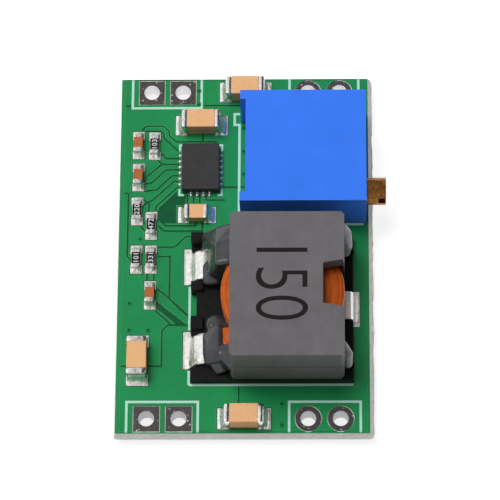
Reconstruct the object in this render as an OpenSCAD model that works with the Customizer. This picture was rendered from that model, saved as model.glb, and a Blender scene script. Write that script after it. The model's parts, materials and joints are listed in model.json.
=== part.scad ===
// Adjustable step-down (buck) converter module on a small two-sided board.
// Origin: centre of the board's underside. +X to the right, +Y to the back, +Z up. Millimetres.
// The adjusting screw of the trimmer points to +X and turns the wiper wheel through a worm.

/* [Board] */
// Width of the board, along X
board_w = 20.32; // [20.2:0.02:26]
// Length of the board, along Y
board_l = 30.48; // [30.2:0.02:38]
// Thickness of the board with its copper and solder mask
board_t = 1.6; // [1.2:0.1:2]
// Bevel left by the scored groove on the right edge
score_right = 0.24; // [0.1:0.02:0.4]
// Bevel left by the scored groove on the other edges
score_edge = 0.08; // [0.04:0.02:0.2]
// Depth of the scored groove on each face
score_depth = 0.4; // [0.2:0.05:0.5]
// Thickness of the solder mask film
mask_t = 0.05; // [0.03:0.01:0.08]
// Height of the copper under the mask
relief_t = 0.04; // [0.03:0.01:0.08]
// Gap between copper areas
copper_gap = 0.17; // [0.12:0.01:0.22]
// Distance from the left and right edges to the copper
copper_inset = 0.44; // [0.3:0.02:0.6]
// Distance from the front and back edges to the copper
copper_end_inset = 0.2; // [0.1:0.02:0.4]
// Width of a printed line
print_w = 0.2; // [0.15:0.01:0.25]
// Thickness of the print
print_t = 0.02; // [0.015:0.005:0.04]

/* [Terminals] */
// Pitch of the pin grid
pitch = 2.54; // [2.4:0.02:2.6]
// Diameter of a plated hole
hole_d = 1.2; // [1:0.05:1.3]
// Width of the pad round a hole
pad_w = 2.03; // [1.8:0.01:2.2]
// Wall of the plating in a hole
plating_t = 0.05; // [0.03:0.01:0.08]
// Distance from the board's end to the centre of the holes
hole_inset = 1.27; // [1.2:0.01:1.6]

/* [Trimmer] */
// Length of the trimmer's housing, along X
trim_l = 10.03; // [9.8:0.01:10.4]
// Width of the trimmer's housing, along Y
trim_w = 9.53; // [9.3:0.01:9.8]
// Height of the trimmer's housing
trim_h = 4.83; // [4.7:0.01:5.2]
// Distance from the board's right edge to the housing
trim_right_inset = 0.44; // [0.3:0.01:0.8]
// Distance from the board's back edge to the housing
trim_back_inset = 3.21; // [3.1:0.01:3.4]
// Wall of the housing
trim_wall = 0.6; // [0.5:0.05:0.7]
// Depth of the recess between the two feet
foot_depth = 0.45; // [0.3:0.05:0.6]
// Length of one foot
foot_l = 0.78; // [0.6:0.02:1]
// Diameter of the screw's head
screw_d = 2.19; // [2:0.01:2.3]
// Length of the head outside the housing
screw_out = 1.55; // [1:0.05:2.2]
// Distance from the front of the housing to the screw's axis
screw_inset = 1.73; // [1.7:0.01:1.8]
// Width of the screwdriver slot
slot_w = 0.5; // [0.4:0.05:0.6]
// Depth of the screwdriver slot
slot_depth = 0.6; // [0.4:0.05:0.9]
// Angle of the slot to the board when the wiper is in the middle of its track
slot_turn = 22; // [0:1:90]
// Running clearance of the screw and the wheel, on the radius
run_gap = 0.05; // [0.03:0.01:0.07]
// Diameter of a solder pin
pin_d = 0.51; // [0.45:0.01:0.6]
// Length of a pin below the board
pin_below = 0.5; // [0.3:0.05:0.8]

/* [Worm drive] */
// Teeth of the wiper wheel: one screw turn moves the wheel by one tooth
wheel_teeth = 33; // [33:1:33]
// Pitch radius of the wheel
wheel_r = 2.56; // [2.5:0.01:2.6]
// Pitch radius of the worm
worm_r = 0.72; // [0.7:0.01:0.74]
// Thickness of the toothed disc
wheel_t = 0.7; // [0.6:0.05:0.8]

/* [Inductor] */
// Width of the core, along X
core_w = 8.93; // [8.6:0.01:9.2]
// Length of the core, along Y
core_l = 11.92; // [11.7:0.01:12]
// Height of the core and its base above the board
inductor_h = 6.4; // [6.35:0.05:7]
// Thickness of the base plate
base_t = 0.8; // [0.6:0.05:0.9]
// Thickness of the core's plates
plate_t = 1.4; // [1.2:0.05:1.45]
// Radius of the centre post
post_r = 2.0; // [1.8:0.05:2.1]
// Inner radius of the winding
coil_in_r = 2.25; // [2.15:0.05:2.4]
// Outer radius of the winding
coil_out_r = 4.85; // [4.7:0.01:4.9]
// Thickness of the flat wire
wire_t = 0.42; // [0.36:0.01:0.42]
// Distance from the board's right edge to the inductor's base
ind_right_inset = 1.51; // [1.3:0.01:1.8]
// Distance from the board's front edge to the inductor's base
ind_front_inset = 4.19; // [4.1:0.01:4.3]

/* [Controller] */
// Width of the controller's package, along X
chip_w = 3; // [2.9:0.05:3.1]
// Length of the controller's package, along Y
chip_l = 4; // [3.9:0.05:4.1]
// Height of the controller's package
chip_h = 0.9; // [0.7:0.05:1]
// Pitch of its leads
lead_pitch = 0.5; // [0.48:0.01:0.52]
// Width of a lead
lead_w = 0.24; // [0.2:0.02:0.3]

/* [Hidden] */
$fn = 48;
eps = 0.01;

// Levels, from the underside up
core_top = board_t - mask_t - relief_t;
mask_top = core_top + mask_t;
seat = board_t;
left = -board_w / 2;
right = board_w / 2;
back = board_l / 2;
front = -board_l / 2;

// The layout's own centre lies here from the left edge and from each end.
// Parts near the back are placed from the back edge, and parts near the front from the front edge.
layout_x = 10.16;
layout_y = 15.24;
back_zone = [left + layout_x, back - layout_y];
front_zone = [left + layout_x, front + layout_y];

// Terminal holes
hole_xs = [pitch * 2, pitch * 3];
hole_y = board_l / 2 - hole_inset;
plating_gap = 0.02;
board_hole_r = hole_d / 2 + plating_t + plating_gap;
drill_taper = 0.01;
print_x = [3.58, 9.18];
print_y = 2.65;

// Two-ended chip parts: [x, y, turn, [length, width, height, end], toe of the solder, zone]
size_1206 = [3.2, 1.6, 1.6, 0.5];
size_0805 = [2, 1.25, 0.95, 0.42];
cap_0603 = [1.6, 0.8, 0.8, 0.34];
res_0603 = [1.6, 0.8, 0.45, 0.32];
toe_1206 = 0.5;
toe_0805 = 0.52;
toe_0603 = 0.4;
INPUT_CAPACITOR = [0, 13.98, 0, size_1206, toe_1206, back_zone];
SUPPLY_CAPACITOR = [-3.55, 11.05, 0, size_1206, toe_1206, back_zone];
FILTER_CAPACITOR = [-8.4, -9.15, 90, size_1206, toe_1206, front_zone];
OUTPUT_CAPACITOR = [0.05, -13.98, 0, size_1206, toe_1206, front_zone];
BYPASS_CAPACITOR = [-3.85, 3.22, 0, size_0805, toe_0805, back_zone];
SMALL_CAPACITOR_1 = [-8.63, 9.3, 90, cap_0603, toe_0603, back_zone];
SMALL_CAPACITOR_2 = [-8.6, 6.5, 90, cap_0603, toe_0603, back_zone];
SMALL_CAPACITOR_3 = [-7.5, -3.65, 90, cap_0603, toe_0603, front_zone];
RESISTOR_1 = [-7.32, 9.25, 90, res_0603, toe_0603, back_zone];
RESISTOR_2 = [-8.65, 3.55, 90, res_0603, toe_0603, back_zone];
RESISTOR_3 = [-7.5, 2.3, 90, res_0603, toe_0603, back_zone];
RESISTOR_4 = [-8.65, -0.6, 90, res_0603, toe_0603, back_zone];
RESISTOR_5 = [-7.48, -0.6, 90, res_0603, toe_0603, back_zone];
CHIP_PARTS = [
    INPUT_CAPACITOR, SUPPLY_CAPACITOR, FILTER_CAPACITOR, OUTPUT_CAPACITOR, BYPASS_CAPACITOR,
    SMALL_CAPACITOR_1, SMALL_CAPACITOR_2, SMALL_CAPACITOR_3,
    RESISTOR_1, RESISTOR_2, RESISTOR_3, RESISTOR_4, RESISTOR_5
];
pad_margin = 0.07;
mask_margin = 0.08;
end_wrap = 0.03;
coat_t = 0.06;
coat_inset = 0.05;

// Controller
chip_at = back_zone + [-3.57, 7.12];
lead_len = 0.4;
lead_t = 0.2;
lead_toe = 0.28;
chip_clear = 0.02;
exposed_w = 1.6;
exposed_l = 2.6;

// Trimmer
trim_x0 = right - trim_right_inset - trim_l;
trim_x1 = right - trim_right_inset;
trim_y1 = back - trim_back_inset;
trim_y0 = trim_y1 - trim_w;
trim_top = seat + trim_h;
screw_y = trim_y0 + screw_inset;
screw_z = seat + trim_h / 2;
end_wall = 1.5;
cavity_x0 = trim_x0 + foot_depth + trim_wall;
cavity_x1 = trim_x1 - end_wall;
seal_t = 0.35;
element_t = 0.6;
film_t = 0.03;
element_top = seat + seal_t + element_t;
tooth_pitch = 2 * PI * wheel_r / wheel_teeth;
tooth_out = 0.11;
tooth_in = 0.17;
worm_crest = worm_r + 0.13;
worm_root = worm_r - 0.16;
wheel_x = (cavity_x0 + cavity_x1) / 2;
wheel_y = screw_y + wheel_r + worm_r;
worm_turns = 6.5;
crest_half = 30;
root_half = 81;
worm_steps = 14;
flange_r = screw_d / 2 + 0.22;
flange_t = 0.4;
ring_t = 0.5;
groove_r = screw_d / 2 - 0.3;
groove_x = trim_x1 - 0.75;
ring_seat_r = groove_r + ring_t;
journal_r = 0.4;
journal_l = 0.7;
bearing_l = 0.9;
bearing_w = 2.1;
bearing_clear = 0.1;
pivot_r = 0.7;
hub_r = 1.5;
hub_up = 0.3;
hub_down = 0.25;
wheel_low = screw_z - wheel_t / 2;
wheel_high = screw_z + wheel_t / 2;
shoulder_z = wheel_high + hub_up + run_gap;
pivot_z = wheel_low - hub_down + 0.1;
wiper_t = 0.1;
track_r = 1.85;
track_w = 0.5;
pin_hole_r = pin_d / 2 + 0.15;
pin_xs = trim_x0 + 1.9;
pin_ys = [for (i = [-1:1]) trim_y0 + trim_w / 2 + i * pitch];
solder_gap = 0.02;
cone_h = pin_below * 0.65;
cone_r = 0.75;

// Inductor, round the core's centre
base_w = 12.85;
base_back = 0.15;
base_front = 0.08;
base_x1 = right - ind_right_inset;
base_x0 = base_x1 - base_w;
core_inset = 0.72;
core_x = base_x1 - core_inset - core_w / 2;
core_y = front + ind_front_inset + base_front + core_l / 2;
coil_bulge = 0.025;
coil_x = base_x1 - core_inset + coil_bulge - coil_out_r;
coil_y = core_y;
coil_turns = 4.5;
coil_steps = 40;
coil_gap = 0.08;
turn_rise = (inductor_h - base_t - 2 * plate_t - 2 * coil_gap - wire_t) / coil_turns;
core_gap = 0.08;
core_low = seat + base_t;
core_high = seat + inductor_h;
half_h = (core_high - core_low - core_gap) / 2;
window_r = coil_out_r + 0.2;
lead_slot = coil_out_r - coil_in_r;
lead_slot_gap = 0.1;
lead_slot_depth = 0.85;
clip_t = 0.2;
clip_w = 2.3;
clip_foot = 0.25;
clip_toe = 0.25;
clip_slot_gap = 0.12;
wire_toe = 0.5;
post_x = 0.45;
post_w = 1;
POSTS = [[5.95, 0.7, 2.1], [2.15, 0.8, 1.2], [-0.8, 1.1, 1.2]];
function lead_y(side) = coil_y + side * (coil_in_r + coil_out_r) / 2;
notch_depth = 1.66;
notch_flare = 0.29;

// Outline helpers: a strip of one width along a chain of points
function unit(v) = v / norm(v);
function left_of(v) = [-v[1], v[0]];
function heading(p, i) = left_of(unit(p[i + 1] - p[i]));
function beside(p, i, d) =
    let (a = heading(p, max(i - 1, 0)), b = heading(p, min(i, len(p) - 2)), m = unit(a + b))
    p[i] + m * d / (m * a);
function strip_points(p, w) = concat(
    [for (i = [0:len(p) - 1]) beside(p, i, w / 2)],
    [for (i = [len(p) - 1:-1:0]) beside(p, i, -w / 2)]);
module strip(p, w) {
    polygon(strip_points(p, w));
}
// Faces of a solid swept through n rings of k points each
function swept_faces(n, k) = concat(
    [[for (j = [0:k - 1]) j]],
    [for (i = [0:n - 2], j = [0:k - 1])
        let (a = k * i + j, b = k * i + (j + 1) % k) each [[a, a + k, b], [a + k, b + k, b]]],
    [[for (j = [k - 1:-1:0]) k * (n - 1) + j]]);
module rounded_box(size, r) {
    // Upright edges rounded, base on the XY plane
    linear_extrude(size[2]) rounded_outline(size[0], size[1], r);
}
module rounded_outline(w, l, r) {
    square([w - 2 * r, l], center = true);
    square([w, l - 2 * r], center = true);
    for (x = [-1, 1], y = [-1, 1]) translate([x * (w / 2 - r), y * (l / 2 - r)]) circle(r);
}

// ---- Board ----

// Section of the board between two scored edges, in a plane across it
module scored_section(half_a, half_b, bevel_a, bevel_b, low, high) {
    polygon([
        [-half_a + bevel_a, low], [half_b - bevel_b, low], [half_b, low + score_depth],
        [half_b, high - score_depth], [half_b - bevel_b, high], [-half_a + bevel_a, high],
        [-half_a, high - score_depth], [-half_a, low + score_depth]
    ]);
}
module board_blank(low, high) {
    intersection() {
        translate([0, board_l, 0]) rotate([90, 0, 0]) linear_extrude(2 * board_l)
            scored_section(board_w / 2, board_w / 2, score_edge, score_right, low, high);
        translate([-board_w, 0, 0]) rotate([90, 0, 90]) linear_extrude(2 * board_w)
            scored_section(board_l / 2, board_l / 2, score_edge, score_edge, low, high);
    }
}
module at_holes() {
    for (sx = [-1, 1], x = hole_xs, sy = [-1, 1]) translate([sx * x, sy * hole_y]) children();
}
module at_pins() {
    for (y = pin_ys) translate([pin_xs, y]) children();
}
via_d = 0.3;
BACK_VIAS = [[-3.8, 14.1], [-3.8, 12.9], [-8.35, 1.15], [-0.1, 10.8], [-0.1, 8.75], [-0.1, 6.75]];
FRONT_VIAS = [[-9.1, -4.35], [-9.1, -6.6], [-7.6, -6.6], [3, -12.75], [3, -14.5]];
VIAS = concat([for (p = BACK_VIAS) back_zone + p], [for (p = FRONT_VIAS) front_zone + p]);

module circuit_board() {
    color("beige") difference() {
        board_blank(mask_t, core_top);
        // The drill wanders a little, so the bare hole behind the plating is wider at its exit
        at_holes() cylinder(r1 = board_hole_r + drill_taper, r2 = board_hole_r, h = board_t);
        at_pins() cylinder(r = pin_hole_r, h = board_t);
        for (p = VIAS) translate(p) cylinder(d = via_d, h = board_t);
    }
}
// Film of green mask with its openings, as an outline
module mask_outline() {
    difference() {
        translate([left + score_edge, front + score_edge])
            square([board_w - score_edge - score_right, board_l - 2 * score_edge]);
        header_pad_outlines(mask_margin);
        at_pins() circle(pin_hole_r);
    }
}
module top_mask() {
    color("darkgreen") translate([0, 0, core_top]) linear_extrude(mask_t) mask_outline();
}
module bottom_mask() {
    color("darkgreen") linear_extrude(mask_t) mask_outline();
}
module header_pad_outlines(margin = 0) {
    // Square pads on the left pairs, round pads on the right pairs
    for (x = hole_xs, sy = [-1, 1]) {
        translate([-x, sy * hole_y]) square(pad_w + 2 * margin, center = true);
        translate([x, sy * hole_y]) circle(d = pad_w + 2 * margin);
    }
}
module header_pads() {
    color("dimgray") difference() {
        union() {
            translate([0, 0, core_top]) linear_extrude(mask_t + relief_t) header_pad_outlines();
            linear_extrude(mask_t) header_pad_outlines();
            at_holes() cylinder(d = hole_d + 2 * plating_t, h = board_t - eps);
        }
        translate([0, 0, -eps]) at_holes() cylinder(d = hole_d, h = board_t + 2 * eps);
    }
}
module vias() {
    color("darkgreen") for (p = VIAS) translate([p[0], p[1], mask_t])
        cylinder(d = via_d - plating_gap, h = core_top - mask_t);
}

// Gaps etched between copper areas, each a chain of points
BACK_GAPS = [
    [[-8.4, 10.6], [-8, 11], [-6.65, 11], [-6.15, 10.5], [-6.15, 10.15], [-5.6, 9.6], [-2.2, 9.6]],
    [[-8.1, 10.55], [-6.8, 10.55], [-6.6, 10.3], [-6.6, 9.95], [-5.4, 8.8]],
    [[-3.45, 9.6], [-3.45, 10.3]],
    [[-6.75, 8.55], [-6.34, 8.12], [-5.35, 8.12]],
    [[-7.2, 8.12], [-6.7, 7.62], [-5.35, 7.62]],
    [[-6.7, 7.62], [-8, 6.5], [-8.15, 5.95]],
    [[-5.35, 7.12], [-6.4, 7.12], [-7.5, 6.02], [-8.1, 5.9]],
    [[-5.35, 6.62], [-5.9, 6.62], [-7.1, 5.4], [-8.2, 5.25]],
    [[-5.35, 6.12], [-5.75, 6.12], [-7.3, 4.6], [-8.1, 4.1]],
    [[-5.35, 5.62], [-5.45, 5.62], [-7.15, 3.95], [-7.15, 3.35]],
    [[-7.7, 3.2], [-7.7, 4.2], [-8.2, 4.65]],
    [[-1.8, 5.62], [0.3, 5.62]],
    [[-4.62, 5], [-4.62, 3.95]], [[-4.12, 5], [-4.12, 3.95]], [[-3.62, 5], [-3.62, 3.95]],
    [[-3.12, 5], [-3.12, 4.5], [-1.6, 4.5]],
    [[-7, 2.95], [-6.35, 2.28], [-3.95, 2.28], [-3.95, 2.7]],
    [[-6.95, 2.3], [-6.45, 1.82], [-3.4, 1.82], [-3.4, 2.6]],
    [[-8.3, 2.75], [-7.95, 2.4]], [[-8.6, 2.45], [-7.95, 1.8]],
    [[-8, 0.45], [-5.6, 0.45], [-4.7, 1.35], [-3.4, 1.35]],
    [[-6.95, -0.35], [-5.95, -0.35], [-5.95, -3.95], [-4.2, -5.6]],
    [[-7.75, -1.8], [-7.75, -2.5]], [[-7.22, -1.8], [-7.22, -2.7]],
    [[-7.15, -2.9], [-6.2, -3.75], [-4.2, -5.7]],
    [[-9.75, 5.1], [-9.37, 5.1], [-9.37, -0.35], [-8.95, -0.8]],
    [[-9.75, 12.78], [-9.3, 12.78]],
    [[-3.4, 12.8], [0.2, 12.8]]
];
FRONT_GAPS = [
    [[-4.2, -6.2], [-6.05, -6.2], [-6.5, -6.65], [-6.5, -9.62], [-9.75, -9.62]],
    [[-7.05, -4.95], [-5.85, -6.1]],
    [[-0.38, -11], [-0.38, -13.2]]
];
// Areas with no copper
BARE = [
    [[-6.95, 3.8], [-5.45, 5.25], [-5.45, 4.85], [-4.75, 4.85], [-4.75, 4.05], [-5.5, 4.05], [-5.5, 2.5],
        [-6.5, 2.5], [-6.95, 2.95]],
    [[-6.95, -4.15], [-4.55, -6.15], [-5.35, -6.15], [-7, -4.75]]
];
module relief_outline() {
    difference() {
        translate([left + copper_inset, front + copper_end_inset])
            square([board_w - 2 * copper_inset, board_l - 2 * copper_end_inset]);
        translate(back_zone) for (g = BACK_GAPS) strip(g, copper_gap);
        translate(front_zone) for (g = FRONT_GAPS) strip(g, copper_gap);
        translate(back_zone) for (b = BARE) polygon(b);
        header_pad_outlines(mask_margin);
        at_pins() circle(pin_hole_r);
        surface_pad_outlines(mask_margin);
    }
}
module copper_relief() {
    color("forestgreen") translate([0, 0, mask_top]) linear_extrude(relief_t) relief_outline();
}

// ---- Pads and solder ----

module put(part) {
    translate(part[5] + [part[0], part[1]]) rotate(part[2]) children();
}
module pad_pair(part, margin) {
    size = part[3];
    run = part[4] + size[3] + 2 * margin;
    for (side = [-1, 1]) translate([side * (size[0] - size[3] + part[4]) / 2, 0])
        square([run, size[1] + 2 * pad_margin + 2 * margin], center = true);
}
module at_leads() {
    // Six leads on each long side and four on each short side, each pointing outwards
    translate(chip_at) {
        for (a = [0, 180], i = [-2.5:1:2.5]) rotate(a) translate([chip_w / 2, i * lead_pitch]) children();
        for (a = [90, 270], i = [-1.5:1:1.5]) rotate(a) translate([chip_l / 2, i * lead_pitch]) children();
    }
}
IND_PADS = [
    // [centre, size], measured from the inductor's base
    [[base_x0 + 0.1, core_y + 3.74], [1.4, 3.05]],
    [[base_x0 + 0.1, core_y - 3.29], [1.4, 3.1]],
    [[base_x1 - 0.08, core_y + 0.13], [1.16, 2.95]]
];
module surface_pad_outlines(margin = 0) {
    for (part = CHIP_PARTS) put(part) pad_pair(part, margin);
    for (p = IND_PADS) translate(p[0]) square([p[1][0] + 2 * margin, p[1][1] + 2 * margin], center = true);
    at_leads() translate([(lead_toe - lead_len) / 2, 0])
        square([lead_toe + lead_len + 2 * margin, lead_w + min(margin, 0.05) * 2], center = true);
    translate(chip_at) square([exposed_w + 2 * margin, exposed_l + 2 * margin], center = true);
}
module surface_pads() {
    color("silver") translate([0, 0, mask_top]) linear_extrude(relief_t) surface_pad_outlines();
}
// A hollow-faced fillet that climbs from the pad's edge up an end wall at x = 0
module fillet(toe, rise, width) {
    rotate([90, 0, 0]) translate([0, 0, -width / 2]) linear_extrude(width)
        polygon(concat([[0, 0]], [for (a = [0:15:90]) [toe * (1 - sin(a)), rise * (1 - cos(a))]]));
}
module chip_part_solder(part) {
    size = part[3];
    for (side = [0, 180]) rotate(side) translate([size[0] / 2, 0, 0])
        fillet(part[4], size[2] * 0.7, size[1] + pad_margin);
}
module solder_fillets() {
    color("silver") {
        translate([0, 0, seat]) {
            for (part = CHIP_PARTS) put(part) chip_part_solder(part);
            at_leads() fillet(lead_toe, lead_t, lead_w);
        }
        for (side = [1, -1]) translate([wire_foot[0], lead_y(side), seat])
            rotate(180) fillet(wire_toe, wire_t, coil_out_r - coil_in_r);
        translate([base_x1 + clip_foot, IND_PADS[2][0][1], seat]) fillet(clip_toe, clip_t, clip_w);
    }
}

// ---- Chip capacitors and resistors ----

module ceramic(part) {
    // Dielectric block between its two metal ends
    size = part[3];
    color("burlywood") translate([0, 0, seat + end_wrap]) put(part)
        translate([0, 0, (size[2] - 2 * end_wrap) / 2])
        cube([size[0] - 2 * size[3], size[1] - 2 * end_wrap, size[2] - 2 * end_wrap], center = true);
}
module end_caps(part) {
    size = part[3];
    color("silver") translate([0, 0, seat]) put(part) for (side = [-1, 1])
        translate([side * (size[0] - size[3]) / 2, 0, 0]) rotate([0, 90, 0])
        translate([-size[2] / 2, 0, -size[3] / 2]) rounded_box([size[2], size[1], size[3]], 0.08);
}
module substrate(part) {
    size = part[3];
    color("white") translate([0, 0, seat + end_wrap]) put(part)
        translate([0, 0, (size[2] - coat_t - end_wrap) / 2])
        cube([size[0] - 2 * size[3], size[1] - 2 * end_wrap, size[2] - coat_t - end_wrap], center = true);
}
module coat(part) {
    size = part[3];
    color("black") translate([0, 0, seat + size[2] - coat_t]) put(part) rounded_box(
        [size[0] - 2 * size[3], size[1] - 2 * coat_inset, coat_t], 0.04);
}

// ---- Controller ----

module controller_package() {
    color("dimgray") translate([0, 0, seat]) difference() {
        translate([chip_at[0], chip_at[1], 0]) difference() {
            translate([0, 0, chip_clear]) rounded_box([chip_w, chip_l, chip_h - chip_clear], 0.1);
            translate([-exposed_w / 2, -exposed_l / 2, -eps]) cube([exposed_w, exposed_l, lead_t + eps]);
        }
        at_leads() translate([-lead_len, -lead_w / 2, -eps]) cube([lead_len + eps, lead_w, lead_t + eps]);
    }
}
module controller_leads() {
    color("silver") translate([0, 0, seat]) {
        at_leads() translate([-lead_len, -lead_w / 2, 0]) cube([lead_len, lead_w, lead_t]);
        translate([chip_at[0] - exposed_w / 2, chip_at[1] - exposed_l / 2, 0])
            cube([exposed_w, exposed_l, lead_t]);
    }
}

// ---- Trimmer ----

module along_screw(x) {
    // A frame whose Z runs along the screw, starting at x
    translate([x, screw_y, screw_z]) rotate([0, 90, 0]) children();
}
module housing_outline() {
    difference() {
        translate([trim_x0, trim_y0]) square([trim_l, trim_w]);
        translate([trim_x0 - eps, trim_y0 + foot_l]) square([foot_depth + eps, trim_w - 2 * foot_l]);
    }
}
module cavity_outline(shrink = 0) {
    translate([cavity_x0 + shrink, trim_y0 + trim_wall + shrink])
        square([cavity_x1 - cavity_x0 - 2 * shrink, trim_w - 2 * trim_wall - 2 * shrink]);
}
module trimmer_housing() {
    color("royalblue") {
        difference() {
            translate([0, 0, seat]) linear_extrude(trim_h) housing_outline();
            translate([0, 0, seat - eps]) linear_extrude(trim_h - trim_wall + eps) cavity_outline();
            along_screw(cavity_x1 - eps) cylinder(r = screw_d / 2 + run_gap, h = end_wall + 2 * eps);
            // Pocket for the screw's flange, and the seat of the sealing ring, open to it
            along_screw(cavity_x1 - flange_t - 2 * run_gap)
                cylinder(r = flange_r + run_gap, h = flange_t + 2 * run_gap + eps);
            along_screw(cavity_x1 - eps)
                cylinder(r = ring_seat_r, h = groove_x + ring_t / 2 - cavity_x1 + 2 * eps);
        }
        // Bearing block for the far end of the screw, and the wheel's pivot with its shoulder
        difference() {
            translate([cavity_x0 - eps, trim_y0 + trim_wall - eps, element_top + bearing_clear])
                cube([bearing_l + eps, bearing_w, trim_top - trim_wall - element_top - bearing_clear + eps]);
            along_screw(cavity_x0 + bearing_l - journal_l)
                cylinder(r = journal_r + run_gap, h = journal_l + eps);
        }
        translate([wheel_x, wheel_y, pivot_z]) cylinder(r = pivot_r, h = trim_top - trim_wall - pivot_z + eps);
        translate([wheel_x, wheel_y, shoulder_z])
            cylinder(r = hub_r - 0.2, h = trim_top - trim_wall - shoulder_z + eps);
    }
}

module adjusting_screw() {
    // Slotted head, sealing groove, flange, worm and end journal, turned from one bar
    worm_len = worm_turns * tooth_pitch;
    worm_x0 = wheel_x - worm_len / 2;
    shaft_r = worm_root - 0.06;
    flange_x = cavity_x1 - run_gap - flange_t;
    groove_x0 = groove_x - ring_t / 2 - run_gap;
    groove_x1 = groove_x + ring_t / 2 + run_gap;
    color("goldenrod") {
        difference() {
            union() {
                along_screw(groove_x1) cylinder(r = screw_d / 2, h = trim_x1 + screw_out - groove_x1);
                along_screw(groove_x0 - eps) cylinder(r = groove_r, h = groove_x1 - groove_x0 + 2 * eps);
                along_screw(flange_x) cylinder(r = screw_d / 2, h = groove_x0 - flange_x);
                along_screw(flange_x) cylinder(r = flange_r, h = flange_t);
            }
            translate([trim_x1 + screw_out - slot_depth, screw_y, screw_z]) rotate([-slot_turn, 0, 0])
                translate([0, -screw_d, -slot_w / 2]) cube([slot_depth + eps, 2 * screw_d, slot_w]);
        }
        along_screw(cavity_x0 + bearing_l + run_gap)
            cylinder(r = shaft_r, h = flange_x - cavity_x0 - bearing_l - run_gap + eps);
        along_screw(cavity_x0 + bearing_l - journal_l + run_gap)
            cylinder(r = journal_r, h = journal_l + eps);
        along_screw(worm_x0) worm_thread(worm_len);
    }
}
// Single-start right-hand thread: a cam outline that turns as it moves along the screw.
// Its crest faces the wheel where the wheel's own X is reached.
WORM_CAM = concat(
    [for (a = [-crest_half, 0, crest_half]) [a, worm_crest]],
    [for (a = [root_half, 120, 160, 200, 240, 360 - root_half]) [a, worm_root]]);
function worm_ring(t, length) = [
    for (c = WORM_CAM) let (a = 90 + c[0] + 360 * worm_turns * (t - 0.5))
        [c[1] * cos(a), c[1] * sin(a), length * t]];
module worm_thread(length) {
    steps = ceil(worm_turns * worm_steps);
    rings = [for (i = [0:steps]) worm_ring(i / steps, length)];
    polyhedron(points = [for (r = rings) each r],
        faces = swept_faces(len(rings), len(WORM_CAM)), convexity = 10);
}
module screw_seal_ring() {
    color("black") along_screw(groove_x) rotate_extrude()
        translate([groove_r + ring_t / 2, 0]) circle(ring_t / 2 - run_gap / 2, $fn = 24);
}
// One tooth gap faces the worm at rest
module wheel_outline() {
    tip_half = 90 / wheel_teeth * 0.33;
    foot_half = 90 / wheel_teeth * 0.85;
    step = 360 / wheel_teeth;
    polygon([
        for (i = [0:wheel_teeth - 1], c = [[-foot_half, -tooth_in], [-tip_half, tooth_out],
            [tip_half, tooth_out], [foot_half, -tooth_in]])
        let (a = -90 + step / 2 + i * step + c[0]) (wheel_r + c[1]) * [cos(a), sin(a)]
    ]);
}
module wiper_wheel() {
    color("ivory") translate([wheel_x, wheel_y, 0]) difference() {
        union() {
            translate([0, 0, wheel_low]) linear_extrude(wheel_t) wheel_outline();
            translate([0, 0, wheel_low - hub_down]) cylinder(r = hub_r, h = wheel_t + hub_down + hub_up);
        }
        translate([0, 0, wheel_low - hub_down - eps]) cylinder(r = pivot_r + run_gap, h = trim_h);
    }
}
module wiper() {
    // Spring ring under the hub with one finger to the track and one to the collector
    z1 = wheel_low - hub_down;
    z0 = element_top + film_t + wiper_t / 2 + 0.005;
    color("gold") translate([wheel_x, wheel_y, 0]) {
        difference() {
            translate([0, 0, z1 - wiper_t]) cylinder(r = hub_r - 0.1, h = wiper_t);
            translate([0, 0, z1 - wiper_t - eps]) cylinder(r = pivot_r + 2 * run_gap, h = wiper_t + 2 * eps);
        }
        finger = [[1, z1 - wiper_t / 2], [1.25, z1 - wiper_t / 2], [track_r - 0.1, z0],
            [track_r + 0.1, z0], [track_r + 0.3, z0 + 0.2]];
        rotate([90, 0, 0]) translate([0, 0, -0.3]) linear_extrude(0.6) strip(finger, 0.9 * wiper_t);
        inner = [[-1.2, z1 - wiper_t / 2], [-1, z1 - wiper_t / 2], [-0.45, z0], [-0.1, z0]];
        rotate([90, 0, 0]) translate([0, 0, -0.2]) linear_extrude(0.4) strip(inner, 0.9 * wiper_t);
    }
}
module element_plate() {
    color("whitesmoke") translate([0, 0, seat + seal_t]) linear_extrude(element_t) cavity_outline(solder_gap);
}
module resistive_film() {
    // Open ring track with its gap to the left, and the collector spot in its middle
    color("black") translate([wheel_x, wheel_y, element_top]) {
        linear_extrude(film_t) difference() {
            circle(track_r + track_w / 2);
            circle(track_r - track_w / 2);
            polygon([[0, 0], 4 * [cos(140), sin(140)], [-6, 0], 4 * [cos(220), sin(220)]]);
        }
        cylinder(r = 0.6, h = film_t);
    }
}
module potting() {
    color("darkslateblue") translate([0, 0, seat]) linear_extrude(seal_t) difference() {
        cavity_outline(solder_gap);
        at_pins() circle(pin_d / 2 + solder_gap);
    }
}
module trimmer_pins() {
    color("silver") at_pins() translate([0, 0, -pin_below]) cylinder(d = pin_d, h = pin_below + seat + seal_t);
}
module pin_solder() {
    // Cone under the board round each pin, with the solder that fills its hole
    color("silver") at_pins() difference() {
        union() {
            translate([0, 0, -cone_h]) cylinder(r1 = pin_d / 2 + 0.05, r2 = cone_r, h = cone_h);
            cylinder(r = pin_hole_r - solder_gap, h = seat);
        }
        translate([0, 0, -pin_below]) cylinder(r = pin_d / 2 + solder_gap / 2, h = pin_below + seat + eps);
    }
}

// ---- Inductor ----

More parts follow.
